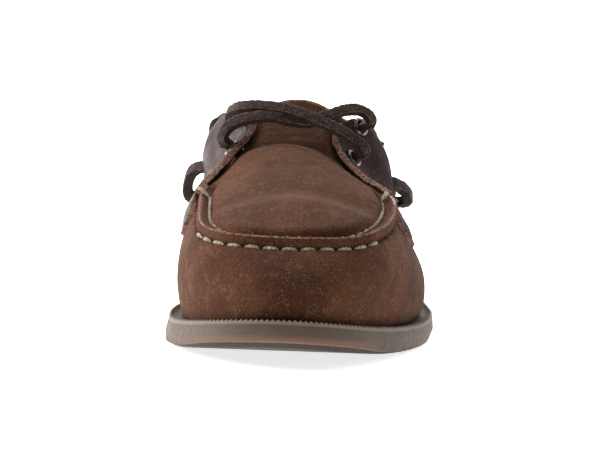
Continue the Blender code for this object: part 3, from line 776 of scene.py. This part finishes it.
def shell_relief(rows, shares, points):
    """How far the vamp's leather stands off the last: seam, band, flex creases and soft lumps."""
    sewn = between(rows, 7.95, 8.35, 17.65, 18.05)
    above = over_seam(shares)
    run = np.interp(rows, SEAM_ROWS, SEAM_RUN)
    start = np.interp(STITCH_ROWS[0], SEAM_ROWS, SEAM_RUN)
    hole = (0.5 + 0.5 * np.cos(2 * math.pi * (run - start) / STITCH_PITCH)) ** 5
    groove = -(0.55 + 0.5 * hole) * hump(above, 0.85)
    pillow = 0.25 * (1 - hole) * hump(above + 1.9, 1.3)
    band = 0.5 * np.sin(math.pi * np.clip(above / RIDGE, 0, 1)) ** 0.8 * (above > 0)
    ragged = 0.35 * ripple(points, 1.5, 3.0) * hump(above - RIDGE, 0.8)
    medial = medial_row(rows)
    flex = np.zeros_like(rows)
    for middle, lean, depth in VAMP_CREASES:
        past = medial - middle - lean * (0.8 - shares)
        flex += depth * (0.5 * hump(past - 0.33, 0.2) - hump(past, 0.16))
    flex *= eased(0.15, 0.45, shares) * (shares < 0.88) * eased(7.9, 8.3, medial)
    soft = 0.5 * ripple(points, 26.0) + 0.22 * ripple(points, 9.0, 7.0)
    soft *= eased(0.0, 0.12, shares) * np.where(above > -1.5, 0.5, 1.0)
    return sewn * (groove + pillow + band + ragged) + flex + soft


def make_shell():
    """The wrap's wall all round the foot, with the band that stands up round the plug."""
    cuts = (0.0, 7.6, 18.4, float(ROWS))
    per_row = (9, 34, 9)     # columns lie closer along the seam
    rows_of = np.concatenate([np.linspace(a, b, int((b - a) * n), endpoint=False)
                              for a, b, n in zip(cuts, cuts[1:], per_row)] + [[float(ROWS)]])
    columns = len(rows_of) - 1
    levels = 74

    def place(u, v):
        rows = rows_of[np.rint(u * columns).astype(int)]
        shares = (1 - (1 - v) ** 1.25) * upper_top(rows)
        points = wall_points(rows, shares)
        inside = eased(7.7, 8.0, medial_row(rows))
        relief = shell_relief(rows % ROWS, shares, points) * inside
        above = over_seam(shares)
        traits = {
            "edge": hump(np.maximum(0, RIDGE - above), 0.75) * inside,
            "shade": 0.9 * hump(above, 0.7) * inside + 0.8 * hump(shares, 0.035)
            + 0.35 * eased(0.3, 1.2, above) * inside * (1 - eased(RIDGE - 1.2, RIDGE - 0.3, above)),
        }
        return skin(rows, shares, relief), traits

    piece = make_sheet("upper_wrap", columns, levels, place, [NUBUCK, RAW], ["upper"])
    thicken(piece, WALL)


def make_lining():
    def place(u, v):
        rows = u * ROWS
        shares = 0.01 + v * (np.minimum(upper_top(rows), COLLAR_TOP) - 0.03)
        return skin(rows, shares, -WALL - 0.12), {"shade": 0.9 - 0.7 * v}

    piece = make_sheet("upper_lining", 180, 26, place, [LINING, LINING], ())
    thicken(piece, 0.5)


# Plug

PLUG_END_ROW = 6.5       # how far back its sides run under the flaps
PLUG_MARGIN = 4.4        # crest of the ridge to the inner stitch line
SPINE_ALONG = (0.585, 0.835)
# y, bow and the half width it bows over, crest, trough behind it, how far behind, spread
PLUG_FOLDS = ((-93.0, 3.0, 30.0, 0.9, 0.6, 13.0, 6.0), (-62.0, 5.0, 28.0, 0.25, 0.2, 10.0, 5.0))
CROWN = np.array(((0.580, 0.845), (0.610, 0.838), (0.680, 0.760), (0.760, 0.675), (0.850, 0.565),
                  (0.915, 0.430)))


def plug_margin(rows):
    """Crest of the ridge to the inner stitch line, less by the medial end."""
    return PLUG_MARGIN - 1.4 * hump(rows - 8.6, 1.3)


def plug_edge(rows, drop):
    """Where the plug's edge lies: inside the wrap's crest, and further back under the flap's edge."""
    ridge = eased(7.75, 8.05, medial_row(rows))
    point, normal, _, rising = wall_frames(rows, 1.0)
    down = drop * ridge + 0.5 * (1 - ridge)
    inside = point - (0.55 * WALL * ridge + 1.0 * (1 - ridge))[..., None] * normal
    return inside - down[..., None] * rising


def edge_table(first, last):
    edge = plug_edge(np.linspace(first, last, 240), RIDGE_PROUD)
    return edge[np.argsort(edge[:, 1])]


MEDIAL_EDGE = edge_table(6.2, TOE_ROW)
LATERAL_EDGE = edge_table(TOE_ROW, 19.8)


def dome_z(x, y):
    """Height of the plug's crowned surface."""
    along = along_at(y)
    left_x, left_z = (np.interp(y, MEDIAL_EDGE[:, 1], MEDIAL_EDGE[:, k]) for k in (0, 2))
    right_x, right_z = (np.interp(y, LATERAL_EDGE[:, 1], LATERAL_EDGE[:, k]) for k in (0, 2))
    turn = np.clip((x - left_x) / np.maximum(right_x - left_x, 1.0), 0, 1)
    middle = foot_z(along) + np.interp(along, CROWN[:, 0], CROWN[:, 1]) * INSTEP
    middle = middle - np.maximum(0, along - CROWN[-1, 0]) * LENGTH
    crown = np.maximum(0.0, middle - (left_z + right_z) / 2)
    return left_z * (1 - turn) + right_z * turn + crown * (1 - (2 * turn - 1) ** 2)


def plug_spine(rows):
    """The line down the plug's middle that its mesh spreads from."""
    medial = medial_row(rows)
    forward = eased(PLUG_END_ROW - 0.8, TOE_ROW, medial) ** 0.9
    along = SPINE_ALONG[0] + (SPINE_ALONG[1] - SPINE_ALONG[0]) * forward
    return np.stack([MIDDLE_X + 3.0 * eased(0.6, 0.8, along), y_at(along)], -1)


def plug_point(rows, reach):
    """A point of the plug, its reach 0 on the spine and 1 on the crest of the ridge."""
    medial = medial_row(rows)
    crest = plug_edge(rows, 0.35)
    spine = plug_spine(rows)
    xy = spine + (crest[..., :2] - spine) * reach[..., None]
    inward = (1 - reach) * np.linalg.norm(crest[..., :2] - spine, axis=-1)
    ridge = eased(7.8, 8.2, medial)
    front = eased(9.5, 11.5, medial)
    z = dome_z(xy[..., 0], xy[..., 1])
    z = z - ridge * (1.5 + 1.3 * front) * hump(inward - plug_margin(rows), 2.0)
    turned = hump(inward, 1.5)
    return xy, z + (crest[..., 2] - z) * turned, inward, ridge


def plug_stitch_line(rows):
    """Points of the plug on its inner stitch line, found step by step."""
    reach = np.ones(len(rows))
    for _ in range(12):
        xy, z, inward, _ = plug_point(rows, reach)
        reach = reach - (plug_margin(rows) - inward) / 40.0
    return joined(xy, z)


def make_plug():
    columns, rings = 320, 90
    tuck = 0.94              # share of the rings before the edge turns down under the flap

    def place(u, v):
        rows = PLUG_END_ROW + (ROWS - 2 * PLUG_END_ROW) * u
        reach = 1 - (1 - np.minimum(v / tuck, 1.0)) ** 1.35
        xy, z, inward, ridge = plug_point(rows, reach)
        points = joined(xy, z)
        x, y = xy[:, 0], xy[:, 1]
        relief = 0.7 * ripple(points, 24.0, 5.0) + 0.25 * ripple(points, 9.0, 9.0)
        for place_y, bow, half, crest, trough, apart, spread in PLUG_FOLDS:
            past = y - place_y + bow * ((x + 3) / half) ** 2
            relief += crest * hump(past, 6.0) - trough * hump(past - apart, spread)
        relief *= eased(1.0, 9.0, inward)
        back = eased(-30.5, -26.0, y)
        groove = ridge * hump(inward - plug_margin(rows), 0.7)
        points[:, 2] += relief - 0.35 * groove - 3.0 * back
        under = np.clip((v - tuck) / (1 - tuck), 0, 1) * (1 - ridge)
        tucked = skin(rows, 0.985 - 0.16 * under, -1.0)
        points = np.where((under > 0)[:, None], tucked, points)
        traits = {"edge": 0.5 * hump(inward, 1.0) * ridge + 0.3 * back,
                  "shade": 0.7 * groove + 0.35 * hump(y + 29.0, 4.0)
                  + 0.5 * (1 - ridge) * hump(inward, 4.0)}
        return points, traits

    bm = new_mesh()
    made = add_sheet(bm, columns, rings, place)
    near_spine = made[:5 * (columns + 1)]      # its first rings nearly fall together
    bmesh.ops.remove_doubles(bm, verts=near_spine, dist=0.4 * MM)
    bmesh.ops.recalc_face_normals(bm, faces=bm.faces)
    piece = finish_piece("upper_plug", bm, [NUBUCK, RAW], (), recalculate=False)
    face_away(piece, 2, 0.0)
    thicken(piece, 1.4)


# Tongue

TONGUE_LONG = 40.0


def flap_edge_table(first, last):
    edge = wall_points(np.linspace(first, last, 120), 1.0)
    return edge[np.argsort(edge[:, 1])]


MEDIAL_FLAP = flap_edge_table(5.15, 7.6)
LATERAL_FLAP = flap_edge_table(ROWS - 7.6, ROWS - 5.15)


def tongue_point(along, turn):
    """A point of the tongue: nearly level between the flaps' edges, bent down under them."""
    middle, half = (np.interp(along, TONGUE_ROWS[:, 0], TONGUE_ROWS[:, k]) for k in (1, 2))
    y = y_at(along)
    middle_x = x_at(-0.01)
    x = middle_x + half * BALL * turn
    edge = np.where(turn < 0, np.interp(y, MEDIAL_FLAP[:, 1], MEDIAL_FLAP[:, 0]),
                    np.interp(y, LATERAL_FLAP[:, 1], LATERAL_FLAP[:, 0]))
    free = eased(-12.0, -7.0, y)
    reach = np.abs((x - middle_x) / (edge - middle_x))
    past = np.maximum(0.0, reach - 0.85) * np.abs(edge - middle_x)
    level = 1.8 * reach ** 2 + 1.05 * past
    drop = level * (1 - free) + free * (0.085 * INSTEP * turn ** 2)
    return np.stack([x, y, foot_z(along) + middle * INSTEP - drop], -1)


def make_tongue():
    def place(u, v):
        turn = 2 * u - 1
        tip = 0.006 * turn ** 2
        along = TONGUE_ROWS[-1, 0] + (TONGUE_ROWS[0, 0] + tip - TONGUE_ROWS[-1, 0]) * v
        points = tongue_point(along, turn)
        y = points[:, 1]
        points[:, 2] += 0.45 * ripple(points, 16.0, 2.0) + 0.2 * ripple(points, 6.0, 4.0)
        points[:, 2] -= 4.0 * eased(-25.0, -31.0, y)
        from_tip = (1 - v) * TONGUE_LONG
        return points, {"edge": 0.9 * hump(from_tip, 0.9),
                        "shade": 0.5 * hump(y + 24.0, 3.0)}

    piece = make_sheet("tongue_leaf", 110, 100, place, [NUBUCK, RAW], ["tongue"], closed=False)
    face_away(piece, 2, 0.0)
    thicken(piece, TONGUE_WALL, 0.35)


# Quarters

def eyelet_spot(label, name):
    """Row and share of an eyelet."""
    row, share = {n: (r, s) for n, r, s in EYELETS}[name]
    return side_row(row, SIDES[label]), share


QUARTER_FACE = FACET_GAP + QUARTER_WALL
QUARTER_HIGH = 55.0
QUARTER_LONG = 200.0
QUARTER_FOLDS = ((4.55, 1.6, 0.5), (5.0, 1.8, 0.35))     # row, lean in rows, depth


def quarter_front(shares, label):
    """The row of the front edge: slanted over the vamp, then hooked back under the ridge's end."""
    corner = FLAP_CORNER[label]
    return np.interp(shares, np.append(QUARTER_FRONT[:, 0], (0.87, 1.0)),
                     np.append(QUARTER_FRONT[:, 1], (corner, corner)))


def quarter_relief(rows, shares, points):
    """Soft lumps and the folds where the quarter flexes, below the flap and at the collar."""
    soft = 0.45 * ripple(points, 24.0, 11.0) + 0.15 * ripple(points, 8.0, 13.0)
    folds = sum(depth * hump(rows - middle - lean * (shares - 0.6), 0.16)
                for middle, lean, depth in QUARTER_FOLDS)
    return soft - folds * between(shares, 0.35, 0.6, 0.85, 0.97)


def quarter_surface(rows, shares, label, hem, extra=0.0):
    """The quarter's outer face: full at the ankle, thinned at its front edge, raised at its top."""
    side = SIDES[label]
    base, normals, _, _ = wall_frames(side_row(rows, side), shares)
    points = base + QUARTER_FACE * normals
    front = quarter_front(shares, label)
    bulge = (2.2 if side < 0 else 1.6) * hump(rows - 5.1, 0.9)
    bulge *= between(shares, 0.45, 0.68, 0.9, 1.0)
    skived = 1.5 * hump(front - rows, 0.35) * (1 - eased(0.76, 0.84, shares))
    ragged = 0.45 * ripple(points, 1.5, 17.0) * hump(hem, 1.2)
    raised = 0.5 * hump(hem, 2.5) - 0.3 * hump(hem - 3.2, 0.8)
    relief = quarter_relief(rows, shares, points) + raised + ragged + bulge - skived
    return base + (QUARTER_FACE + relief + extra)[:, None] * normals, normals


def make_quarter(label):
    columns, levels = 230, 84
    eyelets = [wall_frames(*eyelet_spot(label, name))[:2] for name, _, _ in EYELETS]

    def place(u, v):
        shares = QUARTER_FOOT + (1.0 - QUARTER_FOOT) * v
        rows = HEEL_SEAM + (quarter_front(shares, label) - HEEL_SEAM) * u
        hem = np.minimum((1 - v) * QUARTER_HIGH, (1 - u) * QUARTER_LONG)
        points, _ = quarter_surface(rows, shares, label, hem)
        traits = {"edge": hump(hem, 1.1),
                  # Painted shade over the lateral quarter, half as strong high on its wall
                  "tint_and_shade": (label == "lateral") * (1 - 0.5 * eased(0.62, 0.76, shares)),
                  "shade": 0.8 * hump(shares, 0.04) + 0.5 * hump(hem - 3.2, 0.5)}
        return points, traits

    bm = new_mesh()
    add_sheet(bm, columns, levels, place)
    holes = []
    for point, normal in eyelets:
        centre, axis = Vector(point) * MM, Vector(normal)
        for face in bm.faces:
            away = face.calc_center_median() - centre
            if away.length < 12 * MM and (away - axis * away.dot(axis)).length < 0.48 * EYELET_SHANK * MM:
                holes.append(face)
    bmesh.ops.delete(bm, geom=list(set(holes)), context="FACES")
    piece = finish_piece(f"quarter_{label}_leather", bm, [OILED[label], RAW], [f"quarter_{label}"],
                         recalculate=False)
    face_away(piece, 0, MIDDLE_X * MM)
    thicken(piece, QUARTER_WALL + 0.6, 0.3)


# Eyelets

def eyelet_seat(row, share):
    """How far above the last's surface the eyelet's rim clears the bent flap around it."""
    point, normal, first, _ = wall_frames(row, share)
    second = np.cross(normal, first)
    step = 0.01
    moves = np.array([wall_points(row + step, share) - point, wall_points(row, share + step) - point]) / step
    plane = np.array([moves @ first, moves @ second])
    highest = 0.0
    for turn in np.linspace(0, 2 * math.pi, 17):
        reach = EYELET_OUTER / 2 * np.array([math.cos(turn), math.sin(turn)])
        shift = np.linalg.solve(plane, reach)
        near = skin(row + shift[0], share + shift[1], QUARTER_FACE)
        highest = max(highest, float((near - point) @ normal) - QUARTER_FACE)
    return QUARTER_FACE + highest


def make_eyelet(name, row, share):
    """A rolled metal ring, a little dented, with its shank down through the flap."""
    point, normal, _, _ = wall_frames(row, share)
    face = eyelet_seat(row, share) + 0.1
    hole, outer, shank = EYELET_HOLE / 2, EYELET_OUTER / 2 - 0.7, EYELET_SHANK / 2
    roll = (outer - hole) / 2
    profile = [(shank - 0.5, 0.2), (shank - 0.3, face)]
    profile += arc((hole + roll, face + 0.25), (roll, 1.05), 0, 180, 12)
    profile += [(hole, face - 1.0), (shank - 0.6, 0.2)]
    bm = new_mesh()
    verts = [bm.verts.new((x * MM, 0, z * MM)) for x, z in profile]
    edges = [bm.edges.new(pair) for pair in zip(verts, verts[1:] + verts[:1])]
    bmesh.ops.spin(bm, geom=verts + edges, cent=(0, 0, 0), axis=(0, 0, 1), angle=2 * math.pi, steps=48,
                   use_merge=True)
    bmesh.ops.remove_doubles(bm, verts=bm.verts, dist=1e-6)
    turn = Vector(normal).to_track_quat("Z", "Y").to_matrix().to_4x4()
    turn.translation = Vector(point) * MM
    bmesh.ops.transform(bm, matrix=turn, verts=bm.verts)
    finish_piece(f"{name}_ring", bm, [METAL], [name])


# Laces

LACE_WIDE = 4.4
LACE_THICK = 3.4
LOOP_THICK = 4.3


def smooth_route(knots, count):
    """Points on a smooth curve through a few knots, evenly spaced."""
    knots = np.array(knots, float)
    padded = np.vstack([2 * knots[0] - knots[1], knots, 2 * knots[-1] - knots[-2]])
    places = np.linspace(0, len(knots) - 1, 40 * len(knots))
    first = np.minimum(places.astype(int), len(knots) - 2)
    t = (places - first)[:, None]
    a, b, c, d = (padded[first + k] for k in range(4))
    fine = 0.5 * (2 * b + (c - a) * t + (2 * a - 5 * b + 4 * c - d) * t ** 2
                  + (3 * b - a - 3 * c + d) * t ** 3)
    run = run_along(fine[:, :3])
    return read_off(np.linspace(0, run[-1], count + 1), run, fine)


# The lace's upper face, made paler in the rawhide: partly nap, partly painted light from above
def lace_skin(turn):
    return np.clip(np.sin(turn), 0, 1) ** 1.5


# The lace's upper corners, made paler in the rawhide: partly frayed fibres, partly a painted highlight
def lace_corner(turn):
    return np.abs(np.sin(2 * turn)) ** 6 * (np.sin(turn) > 0)


def make_lace(name, knots, ups, wide, thick, replaces, steps=150):
    """A rawhide lace of rounded square section, uneven in width, along given knots."""
    both = smooth_route(np.hstack([knots, ups]), steps)
    route, up = both[:, :3], unit(both[:, 3:])
    uneven = ripple(route, 9.0, 21.0)
    edge = ripple(route, 2.5, 23.0)
    taper = np.ones(steps + 1)
    taper[0] = taper[-1] = 0.0
    widths = wide * (1 + 0.10 * uneven + 0.05 * edge) * taper
    thicks = thick * (1 - 0.08 * uneven + 0.04 * edge) * taper
    bm = new_mesh()
    add_tube(bm, route, up, widths, thicks, 36, square=7.0, traits={"top": lace_skin, "edge": lace_corner})
    bm.normal_update()
    verts = list(bm.verts)
    fuzz = ripple(np.array([vert.co for vert in verts]) / MM, 1.1, 27.0)
    for vert, lump in zip(verts, fuzz):
        vert.co += vert.normal * (0.22 + 0.25 * vert[bm.verts.layers.float["edge"]]) * lump * MM
    finish_piece(name, bm, [RAWHIDE], replaces)


# The laces' knots in millimetres, over the tongue; each lace starts and ends down in an eyelet
BAR_OVER = ((-33.0, -10.5, 85.4), (-30.2, -16.0, 88.0), (-25.5, -18.5, 89.2), (-18.6, -19.5, 89.5),
            (-10.8, -20.5, 88.9), (-3.0, -22.0, 87.0), (5.9, -24.0, 83.8), (13.7, -25.5, 80.6),
            (19.4, -26.5, 77.0), (23.0, -25.5, 73.2))
BAR_UNDER = ((-34.2, -22.0, 74.4), (-35.0, -24.5, 77.8), (-31.8, -25.0, 81.8), (-25.6, -23.5, 84.4),
             (-16.6, -22.5, 85.6), (-7.9, -22.0, 84.5), (-0.8, -21.0, 83.8), (6.6, -18.5, 86.2),
             (14.3, -16.0, 88.8), (20.4, -14.5, 89.0), (24.4, -13.5, 86.6), (25.2, -12.5, 83.6))


def make_crossing():
    """The two bars over the tongue: out of one eyelet, over the flaps' edges, down into another."""
    bars = (("lace_bar_under", ("medial", "lower"), BAR_UNDER, ("lateral", "upper"), ["lace_crossing"]),
            ("lace_bar_over", ("medial", "upper"), BAR_OVER, ("lateral", "lower"), []))
    for name, start, over, end, replaced in bars:
        ends = []
        for label, level in (start, end):
            row, share = eyelet_spot(label, level)
            point, normal, _, _ = wall_frames(row, share)
            ends.append([point - 2.0 * normal, point + (eyelet_seat(row, share) + 0.8) * normal])
        knots = np.vstack([ends[0], over, ends[1][::-1]])
        make_lace(name, knots, unit(knots - [MIDDLE_X, 40.0, 40.0]), LACE_WIDE, LACE_THICK, replaced)


# The front stretches of the collar lace, which stand off the quarters
FRONT_LOOPS = {
    "medial": ((-42.5, 9.0, 61.5), (-46.3, 11.0, 60.6), (-48.9, 13.5, 58.0), (-50.2, 16.0, 54.0),
               (-50.4, 18.0, 50.0), (-48.8, 20.5, 47.4), (-44.5, 23.0, 46.8)),
    "lateral": ((33.5, 8.5, 57.8), (37.0, 11.0, 56.6), (39.9, 14.0, 54.8), (42.0, 17.0, 52.2),
                (42.4, 20.5, 49.8), (40.6, 23.5, 48.2), (36.0, 26.0, 47.8)),
}


def make_collar_laces():
    for label, side in SIDES.items():
        for name, first, last, low, high, bow in COLLAR_RUNS:
            parts = np.linspace(0, 1, 9)
            rows = side_row(first + (last - first) * parts, side)
            shares = low + (high - low) * parts + COLLAR_RAISE[label]
            lift = QUARTER_FACE + 0.3 + 1.45 + bow * np.sin(math.pi * parts)
            lift[0] = lift[-1] = QUARTER_FACE - 1.5      # its ends go down into the quarter
            point, normal, _, _ = wall_frames(rows, shares)
            knots = point + lift[:, None] * normal
            if name == "front":
                knots = np.array(FRONT_LOOPS[label])
                normal = unit(knots - [MIDDLE_X, 16.0, 53.0])
            thick = LOOP_THICK if name == "front" else LACE_THICK
            make_lace(f"collar_lace_{label}_{name}_cord", knots, normal, LACE_WIDE, thick,
                      [f"collar_lace_{label}_{name}"], steps=70)


# Thread

PLY_TURNS = 2.6 / 7.0    # turns in a millimetre of thread


def add_stitch(bm, route, ups, thick):
    """One stitch of two-ply thread: two strands wound round each other, tapering into the holes."""
    steps = 12
    run = run_along(route)
    marks = np.linspace(0, run[-1], steps + 1)
    line = read_off(marks, run, route)
    up = unit(read_off(marks, run, ups))
    ahead = unit(np.gradient(line, axis=0))
    side = np.cross(ahead, up)
    part = np.linspace(0, 1, steps + 1)
    fat = np.sin(math.pi * np.clip(part, 0.02, 0.98)) ** 0.45
    lift = (fat - 0.75) * thick * 0.8
    for strand in (0, math.pi):
        angle = strand + PLY_TURNS * 2 * math.pi * marks
        wind = 0.25 * thick * fat[:, None] * (np.cos(angle)[:, None] * side + np.sin(angle)[:, None] * up)
        radius = 0.56 * thick * fat
        radius[0] = radius[-1] = 0.0
        add_tube(bm, line + lift[:, None] * up + wind, up, radius, radius, 8)


def make_stitch_line(name, points, normals, pitch, length, thick, material=THREAD):
    """Stitches of one length, end to end along a line, joined in one piece."""
    run = run_along(points)
    bm = new_mesh()
    for k in range(int(run[-1] / pitch)):
        middle = (k + 0.5) * pitch
        near = np.linspace(middle - length / 2, middle + length / 2, 7)
        add_stitch(bm, read_off(near, run, points), unit(read_off(near, run, normals)), thick)
    finish_piece(name, bm, [material], ())


def make_moc_stitches():
    rows = SEAM_ROWS[(SEAM_ROWS > STITCH_ROWS[0]) & (SEAM_ROWS < STITCH_ROWS[1])]
    points, normals, _, _ = wall_frames(rows, SEAM_SHARE)
    make_stitch_line("moc_stitches_outer", points - 0.1 * normals, normals, STITCH_PITCH, 6.7, 1.75)
    rows = np.linspace(RIDGE_ROWS[0] + 0.6, RIDGE_ROWS[1] - 0.35, 900)
    points = plug_stitch_line(rows) + [0.0, 0.0, 0.25]
    ups = np.tile([0.0, 0.0, 1.0], (len(rows), 1))
    make_stitch_line("moc_stitches_inner", points, ups, 4.4, 4.0, 1.45)


def make_bar_tacks():
    """Two doubled threads at each end of the ridge, over its crest and down into the plug's groove."""
    bm = new_mesh()
    tacks = ((8.40, QUARTER_FACE + 0.3, 8.62), (8.47, QUARTER_FACE + 0.3, 8.72),
             (18.02, 0.3, 17.65), (17.94, 0.3, 17.58))
    for row, offset, inner_row in tacks:
        edge_point, edge_normal, _, rising = wall_frames(np.array([row]), 1.0)
        inner = plug_stitch_line(np.array([inner_row])) + [0.0, 0.0, 0.8]
        start = edge_point + offset * edge_normal + 0.5 * rising
        knots = np.vstack([start - 0.6 * rising, start + 0.4 * rising,
                           (start + inner) / 2 + [0.0, 0.0, 0.8], inner])
        route = smooth_route(knots, 14)
        ups = np.tile(unit(edge_normal + [0.0, 0.0, 1.2]), (len(route), 1))
        add_stitch(bm, route, ups, 1.3)
    crest_rows = np.linspace(17.98, 17.3, 14)
    crest, crest_normal, _, rising = wall_frames(crest_rows, 1.0)
    add_stitch(bm, crest + 0.5 * rising, unit(rising + 0.3 * crest_normal), 1.2)
    finish_piece("bar_tacks", bm, [THREAD], ())


def make_quarter_stitches():
    """Fine stitches near the quarters' front edges, round the collar and beside the heel seam."""
    for label in SIDES:
        shares = np.linspace(0.06, 0.96, 300)
        lines = (("front", quarter_front(shares, label) - 0.16, shares),
                 ("collar", np.linspace(0.12, 4.15, 400), np.full(400, 0.94)),
                 ("heel", np.full(160, 0.13), np.linspace(0.06, 0.93, 160)))
        for name, rows, heights in lines:
            points, normals = quarter_surface(rows, heights, label, np.full(len(rows), 3.2), -0.05)
            make_stitch_line(f"quarter_{label}_{name}_stitches", points, normals, 3.0, 2.4, 0.75,
                             RAWHIDE)


# Studio

VIEW_TURN = 0.5          # camera's angles in degrees
VIEW_RISE = 6.0
VIEW_ROLL = 2.0
VIEW_AWAY = 1300.0
VIEW_AIM = (-3.8, -45.0, 45.0)
PHOTO_SIZE = (600, 450)
AIM_PIXEL = (296.0, 222.5)
PIXELS_PER_MM = 2.485


def make_camera():
    camera = bpy.data.cameras.new("camera")
    camera.sensor_width = 36.0
    camera.lens = PIXELS_PER_MM * VIEW_AWAY * camera.sensor_width / PHOTO_SIZE[0]
    camera.shift_x = -(AIM_PIXEL[0] - PHOTO_SIZE[0] / 2) / PHOTO_SIZE[0]
    camera.shift_y = (AIM_PIXEL[1] - PHOTO_SIZE[1] / 2) / PHOTO_SIZE[0]
    turn, rise = math.radians(VIEW_TURN), math.radians(VIEW_RISE)
    back = Vector((math.sin(turn) * math.cos(rise), -math.cos(turn) * math.cos(rise), math.sin(rise)))
    right = Vector((math.cos(turn), math.sin(turn), 0.0))
    up = back.cross(right)
    facing = Matrix((right, up, back)).transposed() @ Matrix.Rotation(math.radians(VIEW_ROLL), 3, "Z")
    made = bpy.data.objects.new("camera", camera)
    made.matrix_world = Matrix.Translation((Vector(VIEW_AIM) + back * VIEW_AWAY) * MM) @ facing.to_4x4()
    bpy.context.scene.collection.objects.link(made)
    bpy.context.scene.camera = made


def make_light(name, place, aim, size, power):
    light = bpy.data.lights.new(name, "AREA")
    light.shape = "RECTANGLE"
    light.size, light.size_y = size
    light.energy = power
    made = bpy.data.objects.new(name, light)
    toward = Vector(aim) - Vector(place)
    made.matrix_world = Matrix.Translation(place) @ toward.to_track_quat("-Z", "Y").to_matrix().to_4x4()
    bpy.context.scene.collection.objects.link(made)


def make_studio():
    """A pale paper sweep, level under the shoe and rising far behind it, and soft side lights."""
    bm = bmesh.new()
    made = bmesh.ops.create_grid(bm, x_segments=2, y_segments=90, size=0.5)["verts"]
    level, bend, height = 5.0, 1.2, 4.0      # metres
    for vert in made:
        run = (vert.co.y + 0.5) * (level + bend * math.pi / 2 + height)
        turn = min(max(run - level, 0.0) / bend, math.pi / 2)
        past = max(run - level - bend * math.pi / 2, 0.0)
        vert.co = (vert.co.x * 16.0, min(run, level) - 3.5 + bend * math.sin(turn),
                   bend * (1 - math.cos(turn)) + past)
    mesh = bpy.data.meshes.new("floor")
    bm.to_mesh(mesh)
    bm.free()
    mesh.shade_smooth()
    paper = Finish("floor_paper", 0.9)
    paper.set(Base_Color=(0.9, 0.9, 0.9, 1.0), Specular_IOR_Level=0.1,
              Emission_Color=(1.0, 1.0, 1.0, 1.0), Emission_Strength=0.72)
    mesh.materials.append(paper.material)
    floor = bpy.data.objects.new("floor", mesh)
    bpy.context.scene.collection.objects.link(floor)
    world = bpy.data.worlds.new("studio")
    world.use_nodes = True
    world.node_tree.nodes["Background"].inputs["Color"].default_value = (1.0, 1.0, 1.0, 1.0)
    world.node_tree.nodes["Background"].inputs["Strength"].default_value = 0.2
    bpy.context.scene.world = world
    make_light("left_box", (-1.0, 0.05, 0.55), (0.0, 0.0, 0.05), (0.7, 0.7), 17.5)
    make_light("right_box", (1.1, 0.2, 0.5), (0.0, 0.0, 0.05), (0.6, 0.6), 1.7)
    make_light("top_box", (0.0, 0.35, 1.4), (0.0, 0.0, 0.0), (1.0, 1.0), 2.4)
    make_light("sweep_box", (0.0, 1.2, 2.6), (0.0, 2.6, 0.6), (3.0, 1.0), 90.0)
    bpy.context.scene.view_settings.view_transform = "Standard"


make_camera()
make_studio()
make_outsole()
make_insole()
make_shell()
make_lining()
make_plug()
make_tongue()
for quarter in SIDES:
    make_quarter(quarter)
    for eyelet, _, _ in EYELETS:
        make_eyelet(f"eyelet_{quarter}_{eyelet}", *eyelet_spot(quarter, eyelet))
make_crossing()
make_collar_laces()
make_moc_stitches()
make_bar_tacks()
make_quarter_stitches()
